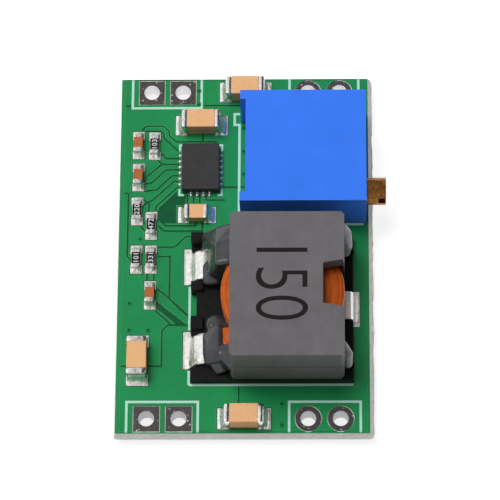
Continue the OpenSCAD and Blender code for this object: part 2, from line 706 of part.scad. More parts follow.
module at_posts(gap = 0) {
    // Upright stops beside the wire ends
    for (p = POSTS) translate([base_x0 - gap, core_y + p[0] - p[1] - gap, seat])
        cube([post_w + 2 * gap, p[1] + 2 * gap, p[2] + gap]);
}
module inductor_base() {
    color("black") {
        translate([0, 0, seat]) difference() {
            translate([base_x0, core_y - core_l / 2 - base_front, 0])
                cube([base_w, core_l + base_front + base_back, base_t]);
            // Recess between the two stops in the middle
            translate([base_x0 - eps, core_y + POSTS[2][0], -eps])
                cube([post_x + eps, POSTS[1][0] - POSTS[1][1] - POSTS[2][0], base_t + 2 * eps]);
            // Slots that the wire ends pass down, and the one that takes the clip
            for (side = [-1, 1]) translate([base_x0 - eps, lead_y(side) - lead_slot / 2 - lead_slot_gap, -eps])
                cube([lead_slot_depth, lead_slot + 2 * lead_slot_gap, base_t + 2 * eps]);
            translate([base_x1 - clip_t - clip_slot_gap, IND_PADS[2][0][1] - clip_w / 2 - lead_slot_gap, -eps])
                cube([clip_t + clip_slot_gap + eps, clip_w + 2 * lead_slot_gap, base_t + 2 * eps]);
        }
        at_posts();
    }
}
module core_window() {
    // Round on the right, and open to the left for the wire ends
    translate([coil_x - core_x, 0]) {
        circle(window_r, $fn = 96);
        translate([-core_w, -window_r]) square([core_w, 2 * window_r]);
    }
}
module core_notch() {
    x = core_w / 2;
    half_in = notch_depth;
    half_out = notch_depth + notch_flare;
    polygon([[x - notch_depth, -half_in], [x + eps, -half_out],
        [x + eps, half_out], [x - notch_depth, half_in]]);
}
module core_half() {
    // Plate on the XY plane, walls and centre post above it
    chamfer = 0.25;
    a = core_w / 2;
    b = core_l / 2;
    outline = [[-a + chamfer, -b], [a - chamfer, -b], [a, -b + chamfer], [a, b - chamfer],
        [a - chamfer, b], [-a + chamfer, b], [-a, b - chamfer], [-a, -b + chamfer]];
    linear_extrude(plate_t) difference() {
        polygon(outline);
        core_notch();
    }
    linear_extrude(half_h) difference() {
        polygon(outline);
        core_window();
    }
    translate([coil_x - core_x, 0, 0]) cylinder(r = post_r, h = half_h);
}
module lower_core() {
    color("slategray") translate([core_x, core_y, core_low]) core_half();
}
module upper_core() {
    color("slategray") translate([core_x, core_y, core_high]) mirror([0, 0, 1]) core_half();
}

// One flat wire, from pad to pad: down from the upper end, round the post, and out to the lower end.
// Each ring holds the four corners of the wire's section.
coil_high = core_high - plate_t - coil_gap - wire_t;
coil_low = coil_high - coil_turns * turn_rise;
wire_foot = [base_x0 + 0.12, seat + wire_t / 2 + 0.02];
wire_bend = [base_x0 + 0.95, seat + base_t + wire_t / 2 + 0.05];
function end_chain(z) = [
    // From the coil's centre line out to the pad, in the XZ plane
    [coil_x, z], [core_x - core_w / 2 - 0.25, z], [core_x - core_w / 2 - 0.75, z - 0.35],
    [wire_bend[0] + 0.65, wire_bend[1] + 0.25 + (z - wire_bend[1]) * 0.12],
    wire_bend + [0.1, 0.05], wire_bend + [-0.25, -0.08], wire_bend + [-0.42, -0.35],
    [wire_bend[0] - 0.46, wire_foot[1] + 0.25], [wire_bend[0] - 0.58, wire_foot[1]], wire_foot];
function end_ring(chain, i, side) =
    let (up = beside(chain, i, -wire_t / 2), down = beside(chain, i, wire_t / 2),
         y_in = coil_y + side * coil_in_r, y_out = coil_y + side * coil_out_r)
    [[down[0], y_in, down[1]], [down[0], y_out, down[1]], [up[0], y_out, up[1]], [up[0], y_in, up[1]]];
function coil_ring(i, n) =
    let (a = 90 - 360 * coil_turns * i / n, z = coil_high - (coil_high - coil_low) * i / n,
         d = [cos(a), sin(a)],
         inner = [coil_x, coil_y] + coil_in_r * d, outer = [coil_x, coil_y] + coil_out_r * d)
    [[inner[0], inner[1], z], [outer[0], outer[1], z],
     [outer[0], outer[1], z + wire_t], [inner[0], inner[1], z + wire_t]];
module inductor_winding() {
    upper = end_chain(coil_high + wire_t / 2);
    lower = end_chain(coil_low + wire_t / 2);
    steps = coil_steps * coil_turns;
    rings = concat(
        [for (i = [len(upper) - 1:-1:1]) end_ring(upper, i, 1)],
        [for (i = [0:steps]) coil_ring(i, steps)],
        [for (i = [1:len(lower) - 1]) end_ring(lower, i, -1)]);
    color("chocolate") polyhedron(
        points = [for (r = rings) each r], faces = swept_faces(len(rings), 4), convexity = 10);
}
module anchor_clip() {
    // Bent strip that holds the right side of the base to its pad
    x = base_x1 - clip_t / 2;
    chain = [[x - 0.7, base_t + clip_t / 2], [x - 0.15, base_t + clip_t / 2], [x, base_t - 0.1],
        [x, clip_t], [x + 0.08, clip_t / 2], [base_x1 + clip_foot, clip_t / 2]];
    color("silver") translate([0, IND_PADS[2][0][1] + clip_w / 2, seat]) rotate([90, 0, 0])
        linear_extrude(clip_w) strip(chain, clip_t);
}
module bead(points) {
    hull() for (p = points) translate([p[0], p[1], seat + p[2]]) sphere(r = p[3], $fn = 20);
}
// The space that the core, the base and the wire ends take, with a small gap
module bead_clearance(gap) {
    translate([core_x - core_w / 2 - gap, core_y - core_l / 2 - gap, seat])
        cube([core_w + 2 * gap, core_l + 2 * gap, inductor_h]);
    translate([base_x0, core_y - core_l, seat]) cube([base_w, 2 * core_l, base_t + gap]);
    at_posts(gap);
    for (side = [-1, 1]) translate([0, lead_y(side) + (coil_out_r - coil_in_r) / 2 + gap, 0]) rotate([90, 0, 0])
        linear_extrude(coil_out_r - coil_in_r + 2 * gap) strip(
            end_chain((side > 0 ? coil_high : coil_low) + wire_t / 2), wire_t + 2 * gap);
}
module epoxy_beads() {
    // Adhesive laid between the core, the base and the wire ends
    xl = core_x - core_w / 2;
    xr = core_x + core_w / 2;
    yb = core_y + core_l / 2;
    yf = core_y - core_l / 2;
    color("gray") difference() {
        union() {
            bead([[xl - 0.1, yb - 0.3, 3.9, 0.3], [xl - 1.9, yb - 0.2, 1.9, 0.4],
                [xl - 1.9, yb - 1.5, 1.7, 0.4], [xl - 0.1, yb - 1.6, 3.4, 0.3], [xl - 1, yb - 0.6, 0.9, 0.3]]);
            bead([[xl - 1.9, yb - 1.5, 1.7, 0.4], [xl - 0.9, yb - 1.5, 2.6, 0.4], [xl - 1.5, yb - 4, 1.5, 0.5],
                [xl - 1, yb - 3.5, 1.7, 0.4]]);
            bead([[xl - 1.5, yf + 5.1, 1.5, 0.5], [xl - 1.9, yf + 3.9, 1.2, 0.4],
                [xl - 0.4, yf + 4.7, 1.8, 0.5], [xl - 1.5, yf + 2.1, 1.7, 0.5],
                [xl - 0.7, yf + 1.6, 2.2, 0.5], [xl - 0.9, yf + 0.5, 1.1, 0.35]]);
            bead([[xl - 0.7, yf + 1.6, 2.2, 0.5], [xl - 0.9, yf + 0.5, 1.1, 0.35],
                [xl - 0.1, yf + 0.9, 3.2, 0.3], [xl - 0.1, yf + 1.9, 3.3, 0.3],
                [xl - 0.1, yf + 0.5, 2.1, 0.3]]);
            bead([[xr + 0.1, yb - 0.35, 3.1, 0.25], [xr + 0.35, yb - 1.2, 2.3, 0.3],
                [xr + 0.3, yb - 1.7, 1.1, 0.3], [xr + 0.2, yb - 0.5, 1, 0.25]]);
            bead([[xr + 0.1, yf + 2.1, 2.6, 0.25], [xr + 0.35, yf + 1.6, 1.9, 0.3],
                [xr + 0.3, yf + 1.1, 1.1, 0.3], [xr + 0.2, yf + 2.2, 1.1, 0.25]]);
        }
        bead_clearance(0.02);
    }
}

// ---- Print ----

module silkscreen_outline() {
    // Frames round the terminal pairs, open towards the board's ends
    for (sx = [-1, 1], sy = [-1, 1]) scale([sx, sy]) {
        y_in = back - print_y;
        strip([[print_x[0], back - score_edge - 0.05], [print_x[0], y_in], [print_x[1], y_in],
            [print_x[1], back - score_edge - 0.05]], print_w);
    }
    // Outline of the trimmer, with the step that marks its first pin
    strip([[trim_x1 - 0.2, trim_y0 - 0.12], [trim_x0 - 0.16, trim_y0 - 0.12], [trim_x0 - 0.16, trim_y1 - 0.95],
        [trim_x0 - 0.56, trim_y1 - 0.95], [trim_x0 - 0.56, trim_y1], [trim_x0 - 0.12, trim_y1]], print_w);
    // Outline of the inductor, open at its pads
    ix = base_x0 - 0.13;
    iy = core_y - core_l / 2 - base_front - 0.14;
    strip([[ix, core_y + 2.05], [ix, core_y - 1.6]], print_w);
    strip([[ix, core_y - 5], [ix, iy + 0.1], [ix + 0.1, iy], [base_x1, iy]], print_w);
    // Corner marks round the controller
    translate(chip_at) for (sx = [-1, 1], sy = [-1, 1]) scale([sx, sy])
        strip([[chip_w / 2 + 0.2, chip_l / 2 - 0.35], [chip_w / 2 + 0.2, chip_l / 2 + 0.18],
            [chip_w / 2 - 0.15, chip_l / 2 + 0.18]], print_w * 0.8);
}
module silkscreen() {
    // The inductor's base stands on bare mask, so the print stops short of it
    clear = 0.03;
    color("honeydew") translate([0, 0, seat]) linear_extrude(print_t) difference() {
        silkscreen_outline();
        translate([base_x0 - clear, core_y - core_l / 2 - base_front - clear])
            square([base_w + 2 * clear, core_l + base_front + base_back + 2 * clear]);
    }
}

circuit_board();
top_mask();
bottom_mask();
copper_relief();
silkscreen();
header_pads();
vias();
surface_pads();
solder_fillets();
trimmer_housing();
adjusting_screw();
screw_seal_ring();
wiper_wheel();
wiper();
element_plate();
resistive_film();
potting();
trimmer_pins();
pin_solder();
inductor_base();
lower_core();
upper_core();
inductor_winding();
anchor_clip();
epoxy_beads();
controller_package();
controller_leads();
ceramic(INPUT_CAPACITOR);  // input_capacitor
end_caps(INPUT_CAPACITOR);  // input_capacitor_ends
ceramic(SUPPLY_CAPACITOR);  // supply_capacitor
end_caps(SUPPLY_CAPACITOR);  // supply_capacitor_ends
ceramic(FILTER_CAPACITOR);  // filter_capacitor
end_caps(FILTER_CAPACITOR);  // filter_capacitor_ends
ceramic(OUTPUT_CAPACITOR);  // output_capacitor
end_caps(OUTPUT_CAPACITOR);  // output_capacitor_ends
ceramic(BYPASS_CAPACITOR);  // bypass_capacitor
end_caps(BYPASS_CAPACITOR);  // bypass_capacitor_ends
ceramic(SMALL_CAPACITOR_1);  // small_capacitor_1
end_caps(SMALL_CAPACITOR_1);  // small_capacitor_1_ends
ceramic(SMALL_CAPACITOR_2);  // small_capacitor_2
end_caps(SMALL_CAPACITOR_2);  // small_capacitor_2_ends
ceramic(SMALL_CAPACITOR_3);  // small_capacitor_3
end_caps(SMALL_CAPACITOR_3);  // small_capacitor_3_ends
substrate(RESISTOR_1);  // resistor_1
coat(RESISTOR_1);  // resistor_1_coat
end_caps(RESISTOR_1);  // resistor_1_ends
substrate(RESISTOR_2);  // resistor_2
coat(RESISTOR_2);  // resistor_2_coat
end_caps(RESISTOR_2);  // resistor_2_ends
substrate(RESISTOR_3);  // resistor_3
coat(RESISTOR_3);  // resistor_3_coat
end_caps(RESISTOR_3);  // resistor_3_ends
substrate(RESISTOR_4);  // resistor_4
coat(RESISTOR_4);  // resistor_4_coat
end_caps(RESISTOR_4);  // resistor_4_ends
substrate(RESISTOR_5);  // resistor_5
coat(RESISTOR_5);  // resistor_5_coat
end_caps(RESISTOR_5);  // resistor_5_ends
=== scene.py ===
# %% [markdown]
# # A small adjustable step-down converter board
#
# A green circuit board of 20 by 30 mm carries a blue trimmer with a brass screw, a grey power inductor, a
# small controller chip and a dozen chip capacitors and resistors. The solids come from the CAD frame, at
# their true sizes. This script dresses them: it gives every solid a procedural material, and adds the pieces
# that only a mesh can show well, such as solder, glue and wire with rounded edges.

# %% Load the frame
import json
import math

import bmesh
import bpy
from mathutils import Matrix, Vector, noise


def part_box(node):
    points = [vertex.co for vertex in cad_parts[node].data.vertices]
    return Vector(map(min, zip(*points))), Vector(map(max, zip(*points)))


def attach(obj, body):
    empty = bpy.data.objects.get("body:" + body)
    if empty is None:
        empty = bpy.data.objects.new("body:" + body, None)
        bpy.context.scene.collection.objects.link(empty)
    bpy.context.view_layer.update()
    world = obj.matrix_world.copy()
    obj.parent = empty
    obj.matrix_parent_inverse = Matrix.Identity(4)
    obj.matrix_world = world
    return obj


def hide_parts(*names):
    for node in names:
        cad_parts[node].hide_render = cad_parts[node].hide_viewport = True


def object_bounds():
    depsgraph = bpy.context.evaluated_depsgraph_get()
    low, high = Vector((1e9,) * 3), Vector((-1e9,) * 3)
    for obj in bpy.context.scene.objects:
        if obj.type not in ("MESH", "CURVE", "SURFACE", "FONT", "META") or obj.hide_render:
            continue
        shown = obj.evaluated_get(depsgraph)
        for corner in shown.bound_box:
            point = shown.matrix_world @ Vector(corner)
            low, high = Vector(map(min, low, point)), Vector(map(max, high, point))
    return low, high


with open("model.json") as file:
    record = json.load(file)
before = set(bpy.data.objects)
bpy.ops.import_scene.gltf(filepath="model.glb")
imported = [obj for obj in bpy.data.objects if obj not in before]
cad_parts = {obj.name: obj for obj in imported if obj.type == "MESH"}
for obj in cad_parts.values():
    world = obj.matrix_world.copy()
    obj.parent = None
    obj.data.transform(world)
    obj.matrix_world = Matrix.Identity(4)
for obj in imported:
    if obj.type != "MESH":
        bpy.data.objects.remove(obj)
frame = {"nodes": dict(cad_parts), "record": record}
nodes = frame["nodes"]
cad_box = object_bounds()
scene = bpy.context.scene
scene.view_settings.view_transform = "Standard"
MM = 0.001
print("CAD box in mm:", [[round(c / MM, 2) for c in corner] for corner in cad_box])

# %% [markdown]
# ## Camera
#
# The board is looked at from the front and rather high up, through a long lens. A long lens keeps the edges
# nearly parallel, as parts this small are usually shown. The camera's own X axis and its view direction are
# given, and its up axis follows from them.

# %% Camera
eye = Vector((6.241, -91.103, 235.526)) * MM
look = Vector((-0.02311, 0.36347, -0.93132)).normalized()
side = Vector((0.99973, 0.00575, -0.02256))
side = (side - look * side.dot(look)).normalized()
up = side.cross(look)
camera_data = bpy.data.cameras.new("camera")
camera_data.lens = 226.4
camera_data.sensor_width = 36.0
camera_data.clip_start = 0.01
camera_data.clip_end = 10.0
camera = bpy.data.objects.new("camera", camera_data)
camera.matrix_world = Matrix.Translation(eye) @ Matrix((side, up, -look)).transposed().to_4x4()
scene.collection.objects.link(camera)
scene.camera = camera
print("camera", [round(c / MM, 1) for c in eye], "mm, lens", camera_data.lens, "mm")

# %% [markdown]
# ## Nodes
#
# The world and every finish are small trees of nodes. These helpers make one node each and hand back the
# socket it ends in, so that a tree reads like a sum. An input is either a value or the socket that feeds it.

# %% Node helpers
def feed(node, inputs):
    """Sets a node's inputs. Each one is a value, or the output socket that feeds it."""
    for key, value in inputs.items():
        if isinstance(value, bpy.types.NodeSocket):
            node.id_data.links.new(value, node.inputs[key])
        else:
            node.inputs[key].default_value = value


def add(tree, kind, inputs=None, **settings):
    """Adds a node with its settings and its inputs, and returns it."""
    node = tree.nodes.new(kind)
    for key, value in settings.items():
        setattr(node, key, value)
    feed(node, inputs or {})
    return node


def maths(tree, operation, *values):
    return add(tree, "ShaderNodeMath", dict(enumerate(values)), operation=operation).outputs[0]


def vector_maths(tree, operation, *values):
    return add(tree, "ShaderNodeVectorMath", dict(enumerate(values)), operation=operation).outputs[0]


def length_of(tree, vector):
    return add(tree, "ShaderNodeVectorMath", {0: vector}, operation="LENGTH").outputs["Value"]


def scaled(tree, vector, factor):
    return add(tree, "ShaderNodeVectorMath", {0: vector, "Scale": factor}, operation="SCALE").outputs[0]


def remap(tree, value, from_low, from_high, to_low=0.0, to_high=1.0):
    return add(tree, "ShaderNodeMapRange",
               {0: value, 1: from_low, 2: from_high, 3: to_low, 4: to_high}).outputs[0]


def blend(tree, factor, first, second):
    """Mixes two colours, and returns the second one where the factor is 1."""
    return add(tree, "ShaderNodeMix", {0: factor, 6: first, 7: second}, data_type="RGBA").outputs[2]


def split(tree, vector):
    """The X, Y and Z sockets of a vector."""
    return add(tree, "ShaderNodeSeparateXYZ", {0: vector}).outputs


def bumped(tree, height, depth):
    """A bump with its depth in millimetres, as a normal."""
    return add(tree, "ShaderNodeBump",
               {"Height": height, "Strength": 1.0, "Distance": depth * MM}).outputs["Normal"]


def grey(level):
    return (level, level, level, 1.0)


def seen_rays(tree):
    """The sockets of the light path, and a mask of the rays that show the background."""
    rays = add(tree, "ShaderNodeLightPath").outputs
    mirrored = maths(tree, "MAXIMUM", rays["Is Camera Ray"], rays["Is Glossy Ray"])
    return rays, maths(tree, "MAXIMUM", mirrored, rays["Is Transmission Ray"])


print("node helpers: sums, vectors, ranges, colour mixes, bumps and the rays that see")


# %% [markdown]
# ## Light
#
# One broad soft box hangs overhead, so that the tops of the parts are bright and their fronts fall off to
# about a third. It hangs a little to the left, and its own image is kept out of reflections, because it would
# lie on every level top like a veil. A weaker one from the left opens the shadows, and the world adds a
# little light from everywhere. Together they light a level surface so that a colour comes out about as it is
# written. What metal mirrors is white from the left, nearly white from above and dark from the right, as if a
# black card stood there, so that tin and solder show their form.

# %% Light
def soft_box(name, place, size, power, mirrored=True):
    """A square lamp that looks at the middle of the board, with its place in millimetres."""
    data = bpy.data.lights.new(name, "AREA")
    data.size = size * MM
    data.energy = power
    lamp = bpy.data.objects.new(name, data)
    lamp.visible_glossy = mirrored
    lamp.location = Vector(place) * MM
    lamp.rotation_euler = (-lamp.location).to_track_quat("-Z", "Y").to_euler()
    scene.collection.objects.link(lamp)


soft_box("overhead_box", (-120, 100, 400), 230, 1.65, mirrored=False)
soft_box("left_box", (-330, -60, 260), 140, 0.2)

world = bpy.data.worlds.new("studio")
scene.world = world
world.use_nodes = True
air = world.node_tree
air.nodes.clear()
rays, seen = seen_rays(air)
sideways = split(air, add(air, "ShaderNodeTexCoord").outputs["Generated"])["X"]
cards = add(air, "ShaderNodeValToRGB", {"Fac": maths(air, "MULTIPLY_ADD", sideways, 0.5, 0.5)})
card_levels = [(0.41, 1.0), (0.49, 0.68), (0.54, 0.2), (0.6, 0.05), (0.82, 0.05), (0.92, 0.8)]
stops = cards.color_ramp.elements
stops[0].color = stops[1].color = grey(1.0)
for place, level in card_levels:
    stops.new(place).color = grey(level)
dim = add(air, "ShaderNodeBackground", {"Color": grey(1), "Strength": 0.13})
white = add(air, "ShaderNodeBackground", {
    "Color": grey(1), "Strength": maths(air, "MAXIMUM", cards.outputs["Color"], rays["Is Camera Ray"])})
sky = add(air, "ShaderNodeMixShader", {0: seen, 1: dim.outputs[0], 2: white.outputs[0]})
add(air, "ShaderNodeOutputWorld", {"Surface": sky.outputs[0]})
print("world: dim white for the light, white where it is seen, a dark card on the right where it is mirrored")

# %% [markdown]
# ## Floor
#
# The board lies on a white table, which throws light up onto the edges of the board. Where the table is seen,
# directly or in a reflection, its paint is greyer and some white is added instead, so that it looks white and
# still keeps a faint shadow.

# %% Floor
def on_screen(red, green, blue):
    """A colour in screen values from 0 to 255, as the linear colour that a shader takes."""
    linear = [((c / 255 + 0.055) / 1.055) ** 2.4 if c > 10 else c / 255 / 12.92 for c in (red, green, blue)]
    return (*linear, 1.0)


def blank_material(name):
    """A new material with nothing in its tree, and that tree."""
    material = bpy.data.materials.new(name)
    material.use_nodes = True
    material.node_tree.nodes.clear()
    return material, material.node_tree


table, tree = blank_material("table")
rays, seen = seen_rays(tree)
paint = add(tree, "ShaderNodeBsdfDiffuse",
            {"Color": blend(tree, rays["Is Diffuse Ray"], grey(0.4), grey(0.8))})
glow = add(tree, "ShaderNodeEmission", {"Color": grey(1), "Strength": maths(tree, "MULTIPLY", seen, 0.82)})
total = add(tree, "ShaderNodeAddShader", {0: paint.outputs[0], 1: glow.outputs[0]})
add(tree, "ShaderNodeOutputMaterial", {"Surface": total.outputs[0]})

floor_mesh = bpy.data.meshes.new("floor")
reach = 2.0
floor_z = cad_box[0].z
floor_mesh.from_pydata([(-reach, -reach, floor_z), (reach, -reach, floor_z), (reach, reach, floor_z),
                        (-reach, reach, floor_z)], [], [(0, 1, 2, 3)])
floor_mesh.materials.append(table)
floor = bpy.data.objects.new("floor", floor_mesh)
scene.collection.objects.link(floor)
print("floor at", round(floor_z / MM, 2), "mm, under the ends of the trimmer's pins")

# %% [markdown]
# ## Shared surface effects
#
# Nearly every finish on the board needs the same few effects: a colour that varies a little, long
# grinding marks, and small bright specks. Each is a node group with named inputs, built once. They read
# Object coordinates, which on these pieces are the true position in metres, and turn them into millimetres,
# so that every scale is a number of details per millimetre.

# %% Effect groups
def named_group(name, inputs, outputs, tree_kind="ShaderNodeTree"):
    """An empty group with named inputs: (name, kind, default). Returns its tree, inputs and output node."""
    group = bpy.data.node_groups.new(name, tree_kind)
    for label, kind, default in inputs:
        socket = group.interface.new_socket(label, in_out="INPUT", socket_type="NodeSocket" + kind)
        if default is not None:
            socket.default_value = default
    for label, kind in outputs:
        group.interface.new_socket(label, in_out="OUTPUT", socket_type="NodeSocket" + kind)
    return group, add(group, "NodeGroupInput").outputs, add(group, "NodeGroupOutput")


def millimetres(tree):
    """The true position in millimetres, as a vector socket."""
    return scaled(tree, add(tree, "ShaderNodeTexCoord").outputs["Object"], 1000.0)


mottle, given, result = named_group(
    "mottle",
    [("Colour", "Color", (0.5, 0.5, 0.5, 1)), ("Scale", "Float", 2.0), ("Amount", "Float", 0.1)],
    [("Colour", "Color"), ("Height", "Float")])
cloud = add(mottle, "ShaderNodeTexNoise", {
    "Vector": millimetres(mottle), "Scale": given["Scale"], "Detail": 4.0, "Roughness": 0.6}).outputs["Fac"]
swing = remap(mottle, cloud, 0.3, 0.7, -1.0, 1.0)
gain = maths(mottle, "MULTIPLY_ADD", swing, given["Amount"], 1.0)
feed(result, {"Colour": scaled(mottle, given["Colour"], gain), "Height": cloud})

streaks, given, result = named_group(
    "streaks", [("Stretch", "Vector", (20.0, 0.6, 3.0))], [("Value", "Float")])
pulled = vector_maths(streaks, "MULTIPLY", millimetres(streaks), given["Stretch"])
lines = add(streaks, "ShaderNodeTexNoise", {"Vector": pulled, "Scale": 1.0, "Detail": 3.0, "Roughness": 0.65})
feed(result, {"Value": lines.outputs["Fac"]})

specks, given, result = named_group(
    "specks", [("Scale", "Float", 8.0), ("Cover", "Float", 0.2)], [("Mask", "Float")])
cells = add(specks, "ShaderNodeTexVoronoi", {"Vector": millimetres(specks), "Scale": given["Scale"]},
            feature="F1")
chance = add(specks, "ShaderNodeSeparateColor", {0: cells.outputs["Color"]}).outputs[0]
chosen = maths(specks, "LESS_THAN", chance, given["Cover"])
near = remap(specks, cells.outputs["Distance"], 0.45, 0.2)
feed(result, {"Mask": maths(specks, "MULTIPLY", near, chosen)})
print("effect groups:", [g.name for g in (mottle, streaks, specks)])

# %% [markdown]
# ## Plain finishes
#
# Plastics, ceramics, metals and inks share one recipe: a mottled colour, a roughness, and a very fine bump.
# What differs is the numbers, so one function makes them all from a table. The trimmer is moulded in a bright
# blue, and its screw is turned brass, strongly mottled light and dark. The green of a board is a clear
# lacquer, light over copper and dark where the copper is etched away, so there are two greens. The bump's
# depth is in millimetres, and grain is its own number of details per millimetre.

# %% Plain finishes
def new_finish(name, inputs):
    """A material with one Principled shader. Returns the material, its tree and its shader."""
    material, tree = blank_material(name)
    shader = add(tree, "ShaderNodeBsdfPrincipled", inputs)
    add(tree, "ShaderNodeOutputMaterial", {"Surface": shader.outputs[0]})
    return material, tree, shader


def effect(tree, group, output, **inputs):
    """Places an effect group, and returns one of its outputs."""
    return add(tree, "ShaderNodeGroup", inputs, node_tree=group).outputs[output]


def plain_finish(name, colour, rough=0.5, metal=0.0, shine=0.5, scale=2.0, amount=0.08, depth=0.003,
                 grain=None):
    """A finish with a mottled colour and a fine bump."""
    material, tree, shader = new_finish(name,
                                        {"Roughness": rough, "Metallic": metal, "Specular IOR Level": shine})
    fine = effect(tree, mottle, "Height", Scale=grain or scale * 4)
    feed(shader, {
        "Base Color": effect(tree, mottle, "Colour", Colour=on_screen(*colour), Scale=scale, Amount=amount),
        "Normal": bumped(tree, fine, depth)})
    return material


plain = {name: plain_finish(name, colour, rough, **rest) for name, colour, rough, rest in [
    ("moulded_base", (24, 25, 24), 0.55, dict(shine=0.12, scale=1.2, amount=0.25, depth=0.01)),
    ("chip_mould", (60, 58, 58), 0.6, dict(shine=0.15, scale=3, amount=0.12, depth=0.006, grain=30)),
    ("tan_ceramic", (232, 180, 130), 0.6, dict(shine=0.12, scale=4, amount=0.05, depth=0.004)),
    ("brown_ceramic", (172, 104, 66), 0.6, dict(shine=0.2, scale=5, amount=0.12, depth=0.004)),
    ("white_ceramic", (226, 226, 220), 0.7, dict(shine=0.2, scale=6, amount=0.06)),
    ("resistor_glaze", (24, 22, 22), 0.35, dict(shine=0.3, scale=6, amount=0.2)),
    ("tinned_end", (224, 222, 218), 0.18, dict(metal=1, scale=4, amount=0.14, depth=0.05, grain=2.2)),
    ("solder", (236, 234, 230), 0.14, dict(metal=0.85, scale=3, amount=0.12, depth=0.06, grain=2.8)),
    ("pad_tin", (238, 236, 232), 0.28, dict(metal=0.75, scale=5, amount=0.12, depth=0.03, grain=3.5)),
    ("pin_tin", (198, 197, 194), 0.3, dict(metal=1, scale=5, amount=0.1, depth=0.004)),
    ("seal_rubber", (20, 20, 20), 0.8, dict(shine=0.15, scale=3, amount=0.2)),
    ("wheel_plastic", (226, 220, 200), 0.45, dict(amount=0.05)),
    ("spring_alloy", (206, 176, 104), 0.25, dict(metal=1, scale=6)),
    ("track_ink", (28, 28, 30), 0.7, dict(shine=0.2, scale=10, amount=0.3, depth=0.006)),
    ("seal_epoxy", (24, 44, 96), 0.3, dict(scale=1.5, amount=0.15)),
    # one glue in two copies: the first is painted darker, as painted shade, the second paler, as painted
    # light
    ("adhesive", (56, 57, 60), 0.13, dict(shine=0.42, scale=1.1, amount=0.35, depth=0.02, grain=2)),
    ("pale_glue", (168, 168, 172), 0.15, dict(scale=1.1, amount=0.2, depth=0.01, grain=3)),
    ("mask_green", (8, 82, 46), 0.32, dict(shine=0.22, scale=1.5, amount=0.12, grain=6)),
    ("copper_green", (28, 134, 76), 0.3, dict(shine=0.22, scale=0.25, amount=0.1, grain=4)),
    # a pale green for the painted highlight along the copper's edges
    ("rim_green", (74, 164, 106), 0.3, dict(shine=0.3, amount=0.1)),
    ("print_ink", (178, 222, 204), 0.6, dict(shine=0.2, scale=5, amount=0.06)),
    ("trimmer_blue", (60, 123, 244), 0.42, dict(shine=0.22, scale=0.35, amount=0.05, grain=8)),
    ("screw_brass", (148, 100, 52), 0.24, dict(metal=1, scale=1.8, amount=0.5, depth=0.02, grain=4)),
    ("black_ink", (30, 27, 28), 0.5, dict(shine=0.15, scale=8, amount=0.15)),
    ("white_ink", (214, 212, 208), 0.6, dict(shine=0.15, scale=12, amount=0.1)),
]}
print("plain finishes made:", len(plain))

# %% [markdown]
# ## Solder mask and laminate
#
# Along the two long edges and the front edge there is no copper on either face, so light comes up through the
# laminate, and a position mask paints the lacquer lighter there. The bare laminate of the edges is pale, with
# the layers of its glass cloth showing as fine lines, some of them darker from the cutting.

# %% Solder mask and laminate
bare_side, bare_front = 9.71, -14.9
tree = plain["mask_green"].node_tree
shader = next(n for n in tree.nodes if n.type == "BSDF_PRINCIPLED")
place = split(tree, millimetres(tree))
past_side = maths(tree, "GREATER_THAN", maths(tree, "ABSOLUTE", place["X"]), bare_side)
margin = maths(tree, "MAXIMUM", past_side, maths(tree, "LESS_THAN", place["Y"], bare_front))
lacquer = shader.inputs["Base Color"].links[0].from_socket
feed(shader, {"Base Color": blend(tree, margin, lacquer, on_screen(34, 136, 80))})

laminate, tree, shader = new_finish("laminate", {"Roughness": 0.6, "Specular IOR Level": 0.25})
resin = effect(tree, mottle, "Colour", Colour=on_screen(250, 249, 243), Scale=2.2, Amount=0.12)
layers = effect(tree, streaks, "Value", Stretch=(1.5, 1.5, 14.0))
burnt = blend(tree, remap(tree, layers, 0.62, 0.72, 0.0, 0.6), resin, on_screen(74, 70, 62))
feed(shader, {"Base Color": burnt, "Normal": bumped(tree, layers, 0.02)})
print("lacquer is paler past", bare_side, "mm to the sides and", -bare_front, "mm to the front")

# %% [markdown]
# ## Tinned pads
#
# The big pads carry a thin dark coat of tin with small grains in it. The specks group picks out the grains:
# they are smoother than the rest, and painted paler as painted glints. Inside the holes the plating is pale,
# and in the back row it is painted paler still, as painted light: the distance from the nearest hole's axis,
# found on the 2.54 mm grid, decides where.

# %% Tinned pads
hole_pitch, hole_row, hole_wall = 2.54, 13.97, 0.63
header_tin, tree, shader = new_finish("header_tin", {"Metallic": 0.75})
coat = effect(tree, mottle, "Colour", Colour=on_screen(92, 87, 87), Scale=3.0, Amount=0.22)
# painted glints: the grains are painted much paler than the coat of tin, and are also smoother
grains_and_glints = effect(tree, specks, "Mask", Scale=5.5, Cover=0.12)
speckled_with_glints = blend(tree, grains_and_glints, coat, on_screen(226, 224, 222))
place = split(tree, millimetres(tree))
along = maths(tree, "WRAP", place["X"], hole_pitch / 2, -hole_pitch / 2)
across = maths(tree, "SUBTRACT", maths(tree, "ABSOLUTE", place["Y"]), hole_row)
from_hole = length_of(tree, add(tree, "ShaderNodeCombineXYZ", {"X": along, "Y": across}).outputs[0])
# painted light: the plating in the back row of holes is painted paler than in the front row
lit_back_row = maths(tree, "GREATER_THAN", place["Y"], 0.0)
barrel_with_painted_light = blend(tree, lit_back_row, on_screen(204, 201, 207), on_screen(250, 249, 250))
feed(shader, {
    "Base Color": blend(tree, maths(tree, "LESS_THAN", from_hole, hole_wall), speckled_with_glints, barrel_with_painted_light),
    "Roughness": remap(tree, grains_and_glints, 0.0, 1.0, 0.42, 0.2)})
print("tinned pads: holes on a grid of", hole_pitch, "mm")
